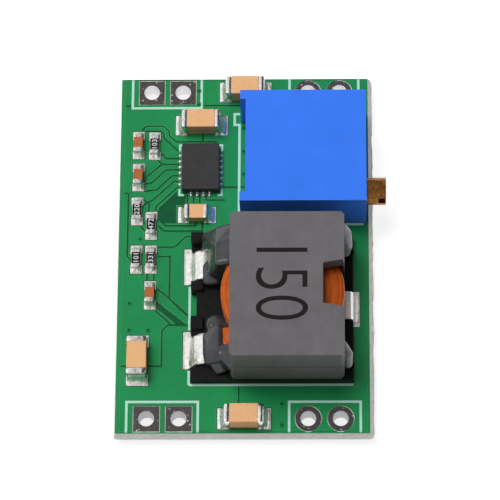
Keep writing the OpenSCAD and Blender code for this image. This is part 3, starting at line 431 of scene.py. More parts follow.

# %% [markdown]
# ## Ferrite and enamel
#
# The ferrite core is ground on its flat faces, so long fine streaks run along it. The winding is copper under
# a clear orange enamel, except at its two ends, where the enamel is stripped and the copper tinned: a
# position along X decides which of the two is seen. Lighter and darker lines follow the wire, so they are a
# noise of the distance from the coil's axis, in the colour and in the bump.

# %% Ferrite
ferrite, tree, shader = new_finish("ferrite", {"Roughness": 0.42, "Specular IOR Level": 0.2})
grinding = effect(tree, streaks, "Value", Stretch=(14.0, 0.35, 3.0))
stone = effect(tree, mottle, "Colour", Colour=on_screen(106, 103, 106), Scale=0.7, Amount=0.1)
feed(shader, {
    "Base Color": scaled(tree, stone, remap(tree, grinding, 0.3, 0.7, 0.93, 1.06)),
    "Normal": bumped(tree, grinding, 0.0025)})
print("ferrite: ground along Y")

# %% Enamelled wire
stripped_x, stripped_fade = -2.3, 0.1
coil_axis = (3.105, -5.01, 0)
enamel, tree, shader = new_finish("enamelled_wire", {"Roughness": 0.32, "Specular IOR Level": 0.25})
position = millimetres(tree)
bare = remap(tree, split(tree, position)["X"], stripped_x + stripped_fade, stripped_x - stripped_fade)
orange = effect(tree, mottle, "Colour", Colour=on_screen(190, 86, 24), Scale=1.5, Amount=0.14)
tin = effect(tree, mottle, "Colour", Colour=on_screen(206, 204, 196), Scale=4.0, Amount=0.2)
from_axis = vector_maths(tree, "SUBTRACT", position, coil_axis)
radius = length_of(tree, vector_maths(tree, "MULTIPLY", from_axis, (1, 1, 0)))
wire_lines = add(tree, "ShaderNodeTexNoise", {"W": radius, "Scale": 6.0, "Detail": 3.0}, noise_dimensions="1D")
line_level = wire_lines.outputs["Fac"]
feed(shader, {
    "Base Color": scaled(tree, blend(tree, bare, orange, tin), remap(tree, line_level, 0.3, 0.7, 0.72, 1.12)),
    "Metallic": remap(tree, bare, 0.0, 1.0, 0.3, 1.0),
    "Normal": bumped(tree, line_level, 0.02)})
print("materials:", len(bpy.data.materials))

# %% [markdown]
# ## Dress the solids
#
# Every solid whose shape is right keeps its mesh and only gets its finish. The slot names say which finish
# goes where, so one table covers them all. A slot that has its finish's own name needs no line of its own.

# %% Dress the solids
finish_of_slot = {
    **plain, "fr4": laminate, "tinned_copper": header_tin, "ferrite": ferrite, "enamelled_wire": enamel,
    **{slot: plain[name] for slot, name in {
        "solder_mask": "mask_green", "masked_copper": "copper_green", "masked_via": "mask_green",
        "print": "print_ink",
        "trimmer_plastic": "trimmer_blue", "element_ceramic": "white_ceramic", "resistive_ink": "track_ink",
        "sealing_epoxy": "seal_epoxy", "base_plastic": "moulded_base", "clip_tin": "pad_tin",
        "mould_compound": "chip_mould", "lead_tin": "pad_tin", "end_tin": "tinned_end",
        "substrate": "white_ceramic",
        "brown_dielectric": "brown_ceramic", "tan_dielectric": "tan_ceramic"}.items()},
}
slot_of_node = {part["node"]: part["material_slot"] for part in frame["record"]["subparts"]}
for name, solid in nodes.items():
    solid.material_slots[0].link = "OBJECT"
    solid.material_slots[0].material = finish_of_slot[slot_of_node[name]]
print("dressed", len(nodes), "solids")

# %% [markdown]
# ## Helpers for new pieces
#
# A new piece is built as a bmesh, turned into an object in metres at the origin, and tied to the body that
# carries it. Modifiers and text objects are evaluated on a throwaway object, so only a plain mesh is left.

# %% Helpers for new pieces
def piece_from(mesh_builder, name, material, replaced=(), body="board", smooth_angle=35,
               flat_over=None):
    """Turns a bmesh in metres into a finished piece. Faces larger than flat_over square mm stay flat."""
    mesh = bpy.data.meshes.new(name)
    mesh_builder.to_mesh(mesh)
    mesh_builder.free()
    mesh.shade_smooth()
    mesh.set_sharp_from_angle(angle=math.radians(smooth_angle))
    if flat_over is not None:
        for face in mesh.polygons:
            face.use_smooth = face.area < flat_over * MM * MM
    mesh.materials.append(material)
    piece = bpy.data.objects.new(name, mesh)
    scene.collection.objects.link(piece)
    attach(piece, body)
    if replaced:
        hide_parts(*replaced)


def pour(other, builder):
    """Adds one bmesh to another, and frees it."""
    mesh = bpy.data.meshes.new("poured")
    other.to_mesh(mesh)
    other.free()
    builder.from_mesh(mesh)
    bpy.data.meshes.remove(mesh)


def plain_mesh(holder):
    """The mesh that a new object evaluates to, with its modifiers applied. The object is thrown away."""
    scene.collection.objects.link(holder)
    mesh = bpy.data.meshes.new_from_object(holder.evaluated_get(bpy.context.evaluated_depsgraph_get()))
    holder.modifiers.clear()
    bpy.data.objects.remove(holder)
    return mesh


def box_mm(node):
    """The low and high corners of a CAD solid, in millimetres."""
    return [Vector(corner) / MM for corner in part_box(node)]


print("piece helpers: new pieces, poured bmeshes, evaluated meshes and boxes in mm")

# %% [markdown]
# ## Rounded housings
#
# No moulded or ground edge is perfectly sharp. A rounded copy takes a CAD solid, merges its loose corners,
# joins the triangles of each flat face and bevels the sharp edges. Its big faces stay flat, and only the
# rounding is shaded smooth.

# %% Rounded housings
def clean_copy(node):
    """A CAD solid's mesh as a bmesh, with its corners merged and its flat faces joined."""
    copy = bmesh.new()
    copy.from_mesh(nodes[node].data)
    bmesh.ops.remove_doubles(copy, verts=copy.verts, dist=2e-7)
    bmesh.ops.dissolve_limit(copy, angle_limit=math.radians(1), verts=copy.verts, edges=copy.edges)
    return copy


def rounded_piece(node, radius, segments=2, angle=40):
    """A copy that replaces a CAD solid, with its sharp edges rounded to a radius in millimetres."""
    copy = clean_copy(node)
    edges = [e for e in copy.edges if len(e.link_faces) == 2 and e.is_convex
             and e.calc_face_angle() > math.radians(angle)]
    bmesh.ops.bevel(copy, geom=edges, offset=radius * MM, segments=segments, profile=0.5,
                    affect="EDGES", clamp_overlap=True)
    slot = slot_of_node[node]
    piece_from(copy, "rounded_" + node, finish_of_slot[slot], [node], flat_over=0.6)


rounded_piece("controller_package", 0.05)
rounded_piece("trimmer_housing", 0.1, angle=80, segments=3)
rounded_piece("lower_core", 0.07, angle=80)
rounded_piece("upper_core", 0.07, angle=80)
rounded_piece("inductor_base", 0.06, angle=80)
print("rounded the controller, the trimmer, the two cores and the base")

# %% [markdown]
# ## Chip parts with dipped ends
#
# The metal ends of a chip part are dipped, so surface tension makes them swell. Each one could be a bevelled
# box, but its face would stay flat. So it is a small pillow: a box whose points are pulled onto a rounded
# form, which is the roundest along the part.

# %% Chip parts with dipped ends
def chip_box(part):
    """The box round a chip part's two ends, the axis it lies along, and its length."""
    low, high = box_mm(part + "_ends")
    along = 0 if high.x - low.x > high.y - low.y else 1
    return low, high, along, (high - low)[along]


def nearest(table, length):
    """The value of a table whose key comes nearest to a length."""
    return table[min(table, key=lambda known: abs(known - length))]


def pillow(builder, centre, half, thin_axis, steps=9, square_power=9.0, round_power=2.4, halvings=22):
    """A box with swollen faces, in millimetres. It is roundest along thin_axis, as dipped metal is."""
    powers = [square_power] * 3
    powers[thin_axis] = round_power
    made = {}

    def corner(point):
        key = tuple(round(c, 5) for c in point)
        if key not in made:
            low_scale, high_scale = 0.2, 1.2
            for _ in range(halvings):
                middle = (low_scale + high_scale) / 2
                total = sum(abs(c * middle) ** power for c, power in zip(point, powers))
                low_scale, high_scale = (middle, high_scale) if total < 1 else (low_scale, middle)
            swollen = Vector([c * low_scale * h for c, h in zip(point, half)])
            made[key] = builder.verts.new((centre + swollen) * MM)
        return made[key]

    spots = [math.sin(math.pi / 2 * (-1 + 2 * i / steps)) for i in range(steps + 1)]
    faces = []
    for axis in range(3):
        for sign in (-1, 1):
            for a, a_next in zip(spots, spots[1:]):
                for b, b_next in zip(spots, spots[1:]):
                    ring = []
                    for u, v in ((a, b), (a_next, b), (a_next, b_next), (a, b_next)):
                        point = [0, 0, 0]
                        point[axis], point[(axis + 1) % 3], point[(axis + 2) % 3] = sign, u, v
                        ring.append(corner(point))
                    faces.append(builder.faces.new(ring if sign > 0 else ring[::-1]))
    bmesh.ops.recalc_face_normals(builder, faces=faces)


wrap_of = {3.2: 0.5, 2.0: 0.42, 1.6: 0.33}
wrap_more, cap_swell = 0.07, 0.01
resistors = [f"resistor_{i}" for i in range(1, 6)]
chip_parts = ["input_capacitor", "supply_capacitor", "filter_capacitor", "output_capacitor",
              "bypass_capacitor",
              *(f"small_capacitor_{i}" for i in range(1, 4)), *resistors]
for part in chip_parts:
    rounded_piece(part, 0.03, segments=1)
    low, high, along, length = chip_box(part)
    wrap = nearest(wrap_of, length) + wrap_more
    caps = bmesh.new()
    for sign in (-1, 1):
        half = (high - low) / 2 + Vector((cap_swell, cap_swell, cap_swell))
        centre = (high + low) / 2
        centre[along] += sign * (length / 2 - wrap / 2)
        half[along] = wrap / 2
        pillow(caps, centre, half, along)
    piece_from(caps, "dipped_" + part + "_ends", plain["tinned_end"], [part + "_ends"],
               smooth_angle=70)
print("chip parts with dipped ends:", len(chip_parts))

# %% [markdown]
# ## The winding
#
# The real coil is one flat enamelled wire, bent on its narrow side round the centre post. It could be a curve
# with a flat bevel profile, but such a profile twists along a coil. So the rings of the wire are laid one by
# one: each ring is a rounded rectangle with a width direction and a thickness direction of its own. The ends
# follow the same bends as the CAD wire, eased a little, down to their pads.

# %% The winding
seat_z = 1.6
coil_centre = Vector((3.105, -5.01, 0))
coil_inner, coil_outer = 2.25, 4.85
coil_mid = (coil_inner + coil_outer) / 2
wire_width, wire_thick = coil_outer - coil_inner, 0.42
coil_top, coil_bottom = 6.10 + wire_thick / 2, 3.88 + wire_thick / 2
coil_turns = 4.5


def eased(points, rounds=2):
    """Cuts the corners of an open chain, and keeps its two ends."""
    for _ in range(rounds):
        cut = [points[0]]
        for a, b in zip(points, points[1:]):
            cut += [a.lerp(b, 0.25), a.lerp(b, 0.75)]
        points = cut + [points[-1]]
    return points


def wire_end(level):
    """The end of the wire in the XZ plane, from the coil out to the pad."""
    bend = 2.66
    chain = [(3.105, level), (-1.25, level), (-1.75, level - 0.35),
             (-2.6, bend + 0.25 + (level - bend) * 0.12),
             (-3.15, 2.71), (-3.5, 2.58), (-3.67, 2.31), (-3.71, 2.08), (-3.83, 1.83), (-4.08, 1.83)]
    return eased([Vector((x, 0, z)) for x, z in chain])


def wire_ring(centre, width_way, thick_way, corner=0.16, steps=3):
    """The points of a rounded rectangle round a centre."""
    ring = []
    half_w, half_t = wire_width / 2 - corner, wire_thick / 2 - corner
    for sign_w, sign_t, start in ((1, 1, 0), (-1, 1, 90), (-1, -1, 180), (1, -1, 270)):
        for step in range(steps + 1):
            turn = math.radians(start + 90 * step / steps)
            ring.append(centre + width_way * (sign_w * half_w + corner * math.cos(turn))
                        + thick_way * (sign_t * half_t + corner * math.sin(turn)))
    return ring


def end_rings(level, side_sign):
    """Rings along one wire end, from the coil outwards."""
    chain = wire_end(level)
    shift = Vector((0, coil_centre.y + side_sign * coil_mid, 0))
    rings = []
    for i, point in enumerate(chain):
        ahead = (chain[min(i + 1, len(chain) - 1)] - chain[max(i - 1, 0)]).normalized()
        thick_way = Vector((ahead.z, 0, -ahead.x))
        if thick_way.z < 0:
            thick_way = -thick_way
        rings.append((point + shift, Vector((0, side_sign, 0)), thick_way))
    return rings


def sheet_of_rings(builder, rings):
    """Joins rings of points into a closed tube, and caps both ends."""
    loops = [[builder.verts.new(p * MM) for p in ring] for ring in rings]
    for low, high in zip(loops, loops[1:]):
        for i in range(len(low)):
            j = (i + 1) % len(low)
            builder.faces.new((low[i], low[j], high[j], high[i]))
    builder.faces.new(loops[0][::-1])
    builder.faces.new(loops[-1])
    bmesh.ops.recalc_face_normals(builder, faces=builder.faces)


upper_end = end_rings(coil_top, 1)[::-1]
lower_end = end_rings(coil_bottom, -1)
coil_steps = 220
coil = []
for i in range(1, coil_steps):
    turn = math.radians(90 - 360 * coil_turns * i / coil_steps)
    outwards = Vector((math.cos(turn), math.sin(turn), 0))
    level = coil_top + (coil_bottom - coil_top) * i / coil_steps
    coil.append((Vector((coil_centre.x, coil_centre.y, level)) + outwards * coil_mid, outwards,
                 Vector((0, 0, 1))))
winding = bmesh.new()
sheet_of_rings(winding, [wire_ring(*ring) for ring in upper_end + coil + lower_end])
piece_from(winding, "flat_wire_coil", enamel, ["inductor_winding"], smooth_angle=60)
print("the coil has", len(coil), "rings and each end has", len(lower_end))

# %% [markdown]
# ## Glue
#
# Grey epoxy is dabbed where the wire leaves the core, and at the core's right corners. It is one glue in two
# copies: the dabs at the wire ends are painted darker, as painted shade, and the dabs at the right corners
# paler, as painted light. Wet glue has no edges, so each dab starts as a hull round a few balls, the hulls
# are fused by a voxel remesh, and smoothing melts the creases. The balls reach into the core and the base,
# so that the glue wets them without a gap.

# %% Glue
core_right, core_back, core_front = 7.93, 0.95, -10.97
glue_dabs = {
    "back_mass": [
        (-0.7, 0.35, 6.2, 0.35), (-0.7, -1.2, 6.6, 0.3), (-1.9, 0.35, 5.3, 0.4), (-1.9, -1.1, 6.1, 0.35),
        (-2.95, 0.45, 3.8, 0.42), (-3.0, -0.35, 3.5, 0.35), (-0.9, 0.2, 3.0, 0.35), (-2.6, 0.3, 2.8, 0.35)],
    "back_slope": [
        (-0.9, -0.9, 6.6, 0.32), (-1.0, -2.55, 6.35, 0.3), (-1.9, -1.1, 6.1, 0.35),
        (-1.85, -2.5, 5.9, 0.35), (-2.4, -1.2, 4.3, 0.4), (-2.4, -2.55, 4.1, 0.42),
        (-1.9, -2.8, 3.6, 0.3), (-1.1, -2.7, 5.4, 0.25)],
    "back_tongue": [
        (-2.9, -1.9, 3.3, 0.38), (-2.3, -1.6, 4.0, 0.42), (-2.85, -2.95, 2.95, 0.42),
        (-2.1, -2.95, 3.1, 0.42), (-2.2, -2.0, 4.1, 0.38)],
    "front_ball": [
        (-2.2, -6.75, 3.2, 0.85), (-1.4, -7.0, 3.4, 0.65)],
    "front_sheet": [
        (-2.85, -7.7, 3.1, 0.4), (-2.8, -9.0, 3.1, 0.42), (-2.75, -9.65, 2.95, 0.38),
        (-1.95, -7.4, 3.85, 0.42), (-1.95, -9.0, 3.9, 0.42), (-1.6, -9.6, 3.7, 0.42),
        (-2.3, -8.4, 3.65, 0.5)],
    "front_corner": [
        (-1.9, -9.2, 3.7, 0.42), (-1.15, -9.0, 4.25, 0.35), (-0.7, -9.5, 4.4, 0.42),
        (-0.7, -10.6, 4.1, 0.35), (-1.5, -9.9, 3.1, 0.42), (-0.7, -10.2, 2.8, 0.3)],
    "front_drip": [
        (-2.6, -9.5, 3.0, 0.4), (-1.4, -9.8, 3.3, 0.45), (-1.5, -10.3, 2.8, 0.3),
        (-2.05, -10.5, 2.62, 0.18)],
}
# the dabs at the right corners, which get the paler copy of the glue: painted light
lit_right_dabs = {
    "right_back": [
        (core_right - 0.2, core_back - 0.45, 5.8, 0.4), (core_right + 0.22, core_back - 0.65, 5.0, 0.4),
        (core_right + 0.3, core_back - 1.25, 3.8, 0.4), (core_right + 0.15, core_back - 1.45, 2.75, 0.38),
        (core_right + 0.1, core_back - 0.55, 2.8, 0.3)],
    "right_front": [
        (core_right - 0.2, core_front + 2.15, 4.4, 0.42), (core_right + 0.25, core_front + 1.6, 3.7, 0.44),
        (core_right + 0.3, core_front + 1.1, 2.8, 0.38), (core_right + 0.1, core_front + 2.2, 2.8, 0.3)],
}


def melted(dabs, voxel, rounds):
    """Fuses hulls of balls into one smooth closed mesh, and returns it as a bmesh in metres."""
    rough = bmesh.new()
    for balls in dabs.values():
        hull = bmesh.new()
        for x, y, z, radius in balls:
            bmesh.ops.create_icosphere(hull, subdivisions=2, radius=radius * MM,
                                       matrix=Matrix.Translation(Vector((x, y, z)) * MM))
        inner = bmesh.ops.convex_hull(hull, input=hull.verts)["geom_interior"]
        bmesh.ops.delete(hull, geom=[g for g in inner if isinstance(g, bmesh.types.BMVert)], context="VERTS")
        pour(hull, rough)
    mesh = bpy.data.meshes.new("rough_glue")
    rough.to_mesh(mesh)
    rough.free()
    lump = bpy.data.objects.new("rough_glue", mesh)
    fuse = lump.modifiers.new("fuse", "REMESH")
    fuse.mode = "VOXEL"
    fuse.voxel_size = voxel * MM
    melt = lump.modifiers.new("melt", "SMOOTH")
    melt.factor = 0.6
    melt.iterations = rounds
    smooth = bmesh.new()
    smooth.from_mesh(plain_mesh(lump))
    return smooth


glue = melted(glue_dabs, voxel=0.09, rounds=9)
print("glue has", len(glue.verts), "corners")
# the darker copy of the glue, painted shade
piece_from(glue, "epoxy_dabs", plain["adhesive"], ["epoxy_beads"], smooth_angle=80)
# the same glue painted lighter, as painted light
painted_lit_glue = melted(lit_right_dabs, voxel=0.09, rounds=9)
piece_from(painted_lit_glue, "pale_epoxy_dabs", plain["pale_glue"], smooth_angle=80)

# %% [markdown]
# ## Solder at the chips and the wire ends
#
# Molten solder pulls itself into a hollow slope between a part's end and its pad. Each slope is a grid: along
# it the height falls with a hollow profile, across it the slope spreads a little towards the pad. A low hum
# of noise keeps any two from being the same. All the slopes together stand for the plain CAD solder. Over the
# two wire ends the solder stands in fuller lumps, melted from hulls like the glue.

# %% Solder slopes
def slope(builder, foot, outward, across, width, toe, height, seed,
          cols=9, rows=8, spread=0.05, hollow=2.3, rim=0.035, hum_height=0.018, tuck=0.03):
    """A hollow solder slope in millimetres: foot is the middle of the part's end on the board."""
    grid = []
    for i in range(cols):
        u = -1 + 2 * i / (cols - 1)
        line = []
        for j in range(rows):
            v = j / (rows - 1)
            lip = toe * (1 - 0.12 * abs(u) ** 3)
            half = width / 2 * (1 - 0.06 * (1 - v)) + spread * v
            rise = height * (1 - v) ** hollow * (1 - 0.3 * abs(u) ** 4) + rim * (1 - v ** 6)
            hum = hum_height * noise.noise(Vector((u * 2 + seed, v * 3, seed))) * (1 - v)
            place = foot + across * (u * half) + outward * (lip * v - tuck * (1 - v))
            line.append(place + Vector((0, 0, rise + hum)))
        grid.append(line)
    top = [[builder.verts.new(p * MM) for p in line] for line in grid]
    low = [[builder.verts.new(Vector((p.x, p.y, foot.z)) * MM) for p in line] for line in grid]
    quads = []
    for i in range(cols - 1):
        for j in range(rows - 1):
            quads.append((top[i][j], top[i + 1][j], top[i + 1][j + 1], top[i][j + 1]))
            quads.append((low[i][j], low[i][j + 1], low[i + 1][j + 1], low[i + 1][j]))
    for i in range(cols - 1):
        quads.append((top[i][0], low[i][0], low[i + 1][0], top[i + 1][0]))
        quads.append((top[i + 1][-1], low[i + 1][-1], low[i][-1], top[i][-1]))
    for j in range(rows - 1):
        quads.append((top[0][j + 1], low[0][j + 1], low[0][j], top[0][j]))
        quads.append((top[-1][j], low[-1][j], low[-1][j + 1], top[-1][j + 1]))
    bmesh.ops.recalc_face_normals(builder, faces=[builder.faces.new(quad) for quad in quads])


slopes = bmesh.new()
seed, seed_step = 0.0, 1.7
foot_z = seat_z + 0.005
toe_of = {3.2: 0.46, 2.0: 0.48, 1.6: 0.36}
climb_of = {3.2: 0.5, 2.0: 0.62, 1.6: 0.62}
for part in chip_parts:
    low, high, along, length = chip_box(part)
    width = (high - low)[1 - along]
    tall = (high.z - seat_z) * nearest(climb_of, length)
    for sign in (-1, 1):
        outward, across = Vector((0, 0, 0)), Vector((0, 0, 0))
        outward[along], across[1 - along] = sign, 1
        foot = (low + high) / 2 + outward * length / 2
        foot.z = foot_z
        seed += seed_step
        slope(slopes, foot, outward, across, width, nearest(toe_of, length), tall, seed)
for side_sign in (1, -1):
    seed += seed_step
    foot = Vector((-4.06, coil_centre.y + side_sign * coil_mid, foot_z))
    slope(slopes, foot, Vector((-1, 0, 0)), Vector((0, 1, 0)), wire_width, 0.62, 0.42, seed)
slope(slopes, Vector((8.86, -4.88, foot_z)), Vector((1, 0, 0)), Vector((0, 1, 0)), 2.3, 0.26, 0.2, 3.3)
print("solder slopes:", len(chip_parts) * 2 + 3)
lumps = {}
for name, low_y, high_y in (("back", -2.55, -0.4), ("front", -9.6, -7.5)):
    lumps[name] = [(-3.95, low_y, 1.78, 0.2), (-3.95, high_y, 1.78, 0.2), (-3.72, low_y, 2.35, 0.25),
                   (-3.72, high_y, 2.35, 0.25), (-3.3, low_y + 0.1, 2.68, 0.28),
                   (-3.3, high_y - 0.1, 2.68, 0.28),
                   (-2.8, low_y + 0.1, 2.75, 0.3), (-2.8, high_y - 0.1, 2.75, 0.3)]
piece_from(melted(lumps, voxel=0.07, rounds=4), "solder_lumps", plain["solder"], smooth_angle=80)
piece_from(slopes, "solder_slopes", plain["solder"], ["solder_fillets"], smooth_angle=50)

# %% [markdown]
# ## Solder at the controller's leads
#
# The controller has twenty leads in four rows, each with the same small bead of solder before it. That is a
# job for Geometry Nodes: a line of points for one row, a flattened ball on each point, and the copies made
# real. The same tree is used four times, with the row's start, step and count as its inputs.

# %% Row of beads
def evaluated_mesh(tree, values):
    """Runs a geometry tree on an empty mesh with the given input values, and returns a bmesh."""
    holder = bpy.data.objects.new(tree.name, bpy.data.meshes.new(tree.name))
    modifier = holder.modifiers.new("tree", "NODES")
    modifier.node_group = tree
    for item in tree.interface.items_tree:
        if item.item_type == "SOCKET" and item.in_out == "INPUT" and item.name in values:
            modifier[item.identifier] = values[item.name]
    made = bmesh.new()
    made.from_mesh(plain_mesh(holder))
    return made


def geometry_tree(name, inputs):
    """A geometry tree with a finish and other inputs. Returns its tree, input sockets and output node."""
    return named_group(name, [("Geometry", "Geometry", None), *inputs, ("Finish", "Material", None)],
                       [("Geometry", "Geometry")], "GeometryNodeTree")


def end_tree(tree, geometry, given, result):
    """Ends a geometry tree: its copies are made real, and the finish is set on them."""
    real = add(tree, "GeometryNodeRealizeInstances", {"Geometry": geometry}).outputs["Geometry"]
    dressed = add(tree, "GeometryNodeSetMaterial", {"Geometry": real, "Material": given["Finish"]})
    feed(result, {"Geometry": dressed.outputs["Geometry"]})


bead_row, given, result = geometry_tree("row_of_beads", [
    ("Start", "Vector", (0, 0, 0)), ("Step", "Vector", (0, 0, 0)), ("Count", "Int", 6),
    ("Size", "Vector", (1, 1, 1))])
row = add(bead_row, "GeometryNodeMeshLine", {
    "Count": given["Count"], "Start Location": given["Start"], "Offset": given["Step"]}, mode="OFFSET")
ball = add(bead_row, "GeometryNodeMeshUVSphere", {"Segments": 12, "Rings": 8, "Radius": 1.0})
placed = add(bead_row, "GeometryNodeInstanceOnPoints", {
    "Points": row.outputs["Mesh"], "Instance": ball.outputs["Mesh"], "Scale": given["Size"]})
end_tree(bead_row, placed.outputs["Instances"], given, result)

chip_low, chip_high = box_mm("controller_package")
chip_mid, chip_half = (chip_low + chip_high) / 2, (chip_high - chip_low) / 2
lead_pitch, lead_reach = 0.5, 0.14
bead_long, bead_short = 0.19, 0.12
bead_z = seat_z + 0.04
rows = []
for sign in (-1, 1):
    edge_x, edge_y = (chip_mid[axis] + sign * (chip_half[axis] + lead_reach) for axis in (0, 1))
    rows.append(((edge_x, chip_mid.y - 2.5 * lead_pitch, bead_z), (0, lead_pitch, 0), 6,
                 (bead_long, bead_short, bead_short)))
    rows.append(((chip_mid.x - 1.5 * lead_pitch, edge_y, bead_z), (lead_pitch, 0, 0), 4,
                 (bead_short, bead_long, bead_short)))
beads = bmesh.new()
for start, step, count, size in rows:
    pour(evaluated_mesh(bead_row,
                        {"Start": [c * MM for c in start], "Step": [c * MM for c in step], "Count": count,
                                   "Size": [c * MM for c in size], "Finish": plain["solder"]}), beads)
piece_from(beads, "lead_solder", plain["solder"], smooth_angle=80)
print("beads of solder at the leads:", sum(count for _, _, count, _ in rows))

# %% [markdown]
# ## A painted highlight along the copper edges under the solder mask
#
# A pale green line is painted along the upper edges of the copper areas, as a painted highlight. The script
# finds the sharp upper edges of the copper areas, and a tree turns them into curves and gives them a thin
# round section.

# %% The painted highlight along the copper edges
relief = clean_copy("copper_relief")
relief_top = max(v.co.z for v in relief.verts)
sharp_angle = 0.8
lines = bmesh.new()
made = {}
for edge in relief.edges:
    level = all(abs(v.co.z - relief_top) < 1e-6 for v in edge.verts)
    if level and len(edge.link_faces) == 2 and edge.calc_face_angle() > sharp_angle:
        for v in edge.verts:
            if v not in made:
                made[v] = lines.verts.new(v.co)
        lines.edges.new([made[v] for v in edge.verts])
outline_mesh = bpy.data.meshes.new("copper_outline")
lines.to_mesh(outline_mesh)
lines.free()
relief.free()
outline_object = bpy.data.objects.new("copper_outline", outline_mesh)

rim_tree, given, result = geometry_tree("lacquer_rim",
                                        [("Outline", "Object", None), ("Radius", "Float", 0.001)])
source = add(rim_tree, "GeometryNodeObjectInfo", {"Object": given["Outline"]})
path = add(rim_tree, "GeometryNodeMeshToCurve", {"Mesh": source.outputs["Geometry"]})
section = add(rim_tree, "GeometryNodeCurvePrimitiveCircle", {"Resolution": 5, "Radius": given["Radius"]})
tube = add(rim_tree, "GeometryNodeCurveToMesh", {
    "Curve": path.outputs["Curve"], "Profile Curve": section.outputs["Curve"]})
end_tree(rim_tree, tube.outputs["Mesh"], given, result)
rim_radius = 0.028
rim = evaluated_mesh(rim_tree,
                     {"Outline": outline_object, "Radius": rim_radius * MM, "Finish": plain["rim_green"]})
bpy.data.objects.remove(outline_object)
print("rim faces:", len(rim.faces))
piece_from(rim, "lacquer_rim", plain["rim_green"], smooth_angle=80)

# %% [markdown]
# ## Vias under the lacquer
#
# A via that is covered by lacquer shows as a small raised ring with a dimple in it. One tree puts the same
# ring on every via's place.

# %% Vias under the lacquer
via_tree, given, result = geometry_tree("via_rings", [
    ("Places", "Object", None), ("Radius", "Float", 0.001), ("Wall", "Float", 0.001)])
source = add(via_tree, "GeometryNodeObjectInfo", {"Object": given["Places"]})
dots = add(via_tree, "GeometryNodeMeshToPoints", {"Mesh": source.outputs["Geometry"]})
ring = add(via_tree, "GeometryNodeCurvePrimitiveCircle", {"Resolution": 20, "Radius": given["Radius"]})
wall = add(via_tree, "GeometryNodeCurvePrimitiveCircle", {"Resolution": 8, "Radius": given["Wall"]})
torus = add(via_tree, "GeometryNodeCurveToMesh", {
    "Curve": ring.outputs["Curve"], "Profile Curve": wall.outputs["Curve"]})
placed = add(via_tree, "GeometryNodeInstanceOnPoints", {
    "Points": dots.outputs["Points"], "Instance": torus.outputs["Mesh"]})
end_tree(via_tree, placed.outputs["Instances"], given, result)

via_places = [(-3.8, 14.1), (-3.8, 12.9), (-8.35, 1.15), (-0.1, 10.8), (-0.1, 8.75), (-0.1, 6.75),
              (-9.1, -4.35),
              (-9.1, -6.6), (-7.6, -6.6), (3, -12.75), (3, -14.5)]
ring_z = seat_z - 0.005
dot_mesh = bpy.data.meshes.new("via_places")
dot_mesh.from_pydata([Vector((x, y, ring_z)) * MM for x, y in via_places], [], [])
dot_object = bpy.data.objects.new("via_places", dot_mesh)
rings = evaluated_mesh(via_tree, {
    "Places": dot_object, "Radius": 0.17 * MM, "Wall": 0.05 * MM, "Finish": plain["rim_green"]})
bpy.data.objects.remove(dot_object)
piece_from(rings, "via_rings", plain["copper_green"], smooth_angle=80)
hollows = bmesh.new()
for x, y in via_places:
    bmesh.ops.create_cone(hollows, cap_ends=True, segments=20, radius1=0.15 * MM, radius2=0.13 * MM,
                          depth=0.02 * MM,
                          matrix=Matrix.Translation(Vector((x, y, seat_z)) * MM))
piece_from(hollows, "via_hollows", plain["mask_green"])
print("vias:", len(via_places))

# %% [markdown]
# ## Printed numbers
#
# The core carries a large plain number, printed in black along its length, and the resistors carry three
# small white digits. Each one is a text object, turned to a mesh before it is turned and put in its place.

# %% Printed numbers
def printed(builder, text, middle, height, turn, stroke=0.0, stretch=1.0, thick=0.012, space=1.1):
    """Adds flat text to a bmesh: its middle in millimetres, its digits' height, and its turn in degrees."""
    curve = bpy.data.curves.new("text", "FONT")
    curve.body = text
    curve.size = 1.0
    curve.offset = stroke
    curve.resolution_u = 6
    curve.space_character = space
    sheet = bmesh.new()
    sheet.from_mesh(plain_mesh(bpy.data.objects.new("text", curve)))
    xs, ys = [v.co.x for v in sheet.verts], [v.co.y for v in sheet.verts]
    size = height / (max(ys) - min(ys))
    centre = Vector(((max(xs) + min(xs)) / 2, (max(ys) + min(ys)) / 2, 0))
    place = (Matrix.Translation(Vector(middle) * MM) @ Matrix.Rotation(math.radians(turn), 4, "Z")
             @ Matrix.Diagonal((size * stretch * MM, size * MM, MM, 1)))
    bmesh.ops.remove_doubles(sheet, verts=sheet.verts, dist=1e-5)
    grown = bmesh.ops.extrude_face_region(sheet, geom=sheet.faces[:])
    for item in grown["geom"]:
        if isinstance(item, bmesh.types.BMVert):
            item.co.z += thick
    for v in sheet.verts:
        v.co = place @ (v.co - centre)
    bmesh.ops.recalc_face_normals(sheet, faces=sheet.faces)
    pour(sheet, builder)


core_top_z = box_mm("upper_core")[1].z
number = bmesh.new()
printed(number, "150", (3.08, -5.1, core_top_z), 4.05, -90, stroke=-0.012, stretch=0.8, space=1.0)
piece_from(number, "core_number", plain["black_ink"])
codes = bmesh.new()
for part, code in zip(resistors, ("103", "220", "472", "101", "331")):
    low, high = box_mm(part + "_coat")
    middle = (low + high) / 2
    printed(codes, code, (middle.x, middle.y, high.z), 0.42, 90, stroke=0.012, thick=0.006)
piece_from(codes, "resistor_codes", plain["white_ink"])
print("numbers: one on the core,", len(resistors), "codes")

# %% [markdown]
# ## The broken edge and the ejector marks
#
# The board was snapped off along scored grooves, which leaves a thin ragged web of glass and resin at half
# thickness, widest on the right. A strip with a noisy outline stands for it. The moulded base
# shows the round marks of the ejector pins: each one is turned from a small profile.

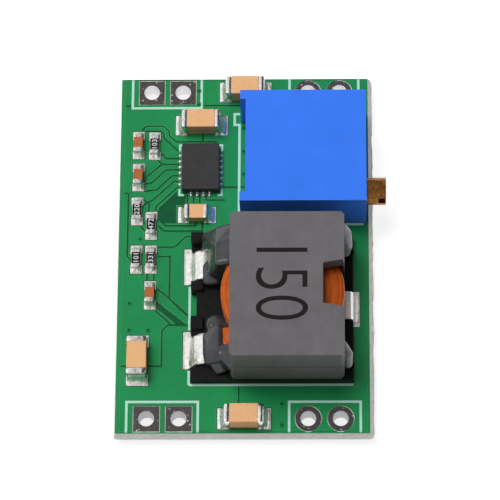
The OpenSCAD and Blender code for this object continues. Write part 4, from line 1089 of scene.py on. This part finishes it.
# %% The broken edge and the ejector marks
def ragged_web(builder, x_edge, sign, low_y, high_y, least, most, seed):
    """A thin strip along a long edge of the board. Its width runs between least and most, in millimetres."""
    count = 160
    low_z, high_z = 0.5, 1.08
    rings = []
    for i in range(count):
        y = low_y + (high_y - low_y) * i / (count - 1)
        wave = (0.5 + 0.5 * noise.noise(Vector((y * 0.55, seed, 0)))
                + 0.35 * noise.noise(Vector((y * 2.4, seed, 5))))
        out = x_edge + sign * (least + (most - least) * min(max(wave, 0), 1))
        tilt = 0.1 * noise.noise(Vector((y * 1.7, seed, 9)))
        back_x = x_edge - sign * 0.1
        rings.append([Vector((back_x, y, low_z)), Vector((out, y, low_z + 0.12 + tilt)),
                      Vector((out + sign * 0.02, y, (low_z + high_z) / 2 + tilt)),
                      Vector((out, y, high_z - 0.12 + tilt)), Vector((back_x, y, high_z))])
    sheet_of_rings(builder, rings)


board_low, board_high = box_mm("circuit_board")
web = bmesh.new()
ragged_web(web, board_high.x, 1, board_low.y + 0.1, board_high.y - 0.1, 0.01, 0.17, 3.0)
ragged_web(web, board_low.x, -1, board_low.y + 0.1, board_high.y - 0.1, 0.0, 0.05, 8.0)
piece_from(web, "broken_web", laminate, smooth_angle=50)


def turned(builder, centre, profile, segments=24):
    """Turns a profile of (radius, height) in millimetres round an upright axis, from rim to middle."""
    rings = []
    for radius, height in profile[:-1]:
        rings.append([builder.verts.new((centre
                                         + Vector((radius * math.cos(a), radius * math.sin(a), height))) * MM)
                      for a in (2 * math.pi * k / segments for k in range(segments))])
    top = builder.verts.new((centre + Vector((0, 0, profile[-1][1]))) * MM)
    for low, high in zip(rings, rings[1:]):
        for k in range(segments):
            builder.faces.new((low[k], low[(k + 1) % segments], high[(k + 1) % segments], high[k]))
    for k in range(segments):
        builder.faces.new((rings[-1][k], rings[-1][(k + 1) % segments], top))
    builder.faces.new(rings[0][::-1])


base_top_z = 2.4
marks = bmesh.new()
for x, y in ((-3.17, -9.8), (-2.65, -4.5), (8.3, -9.9), (8.3, -0.3)):
    turned(marks, Vector((x, y, base_top_z)),
           [(0.44, -0.01), (0.42, 0.03), (0.38, 0.03), (0.35, 0.008), (0, 0.008)])
piece_from(marks, "ejector_marks", plain["moulded_base"])
print("web strips: 2, ejector marks: 4")
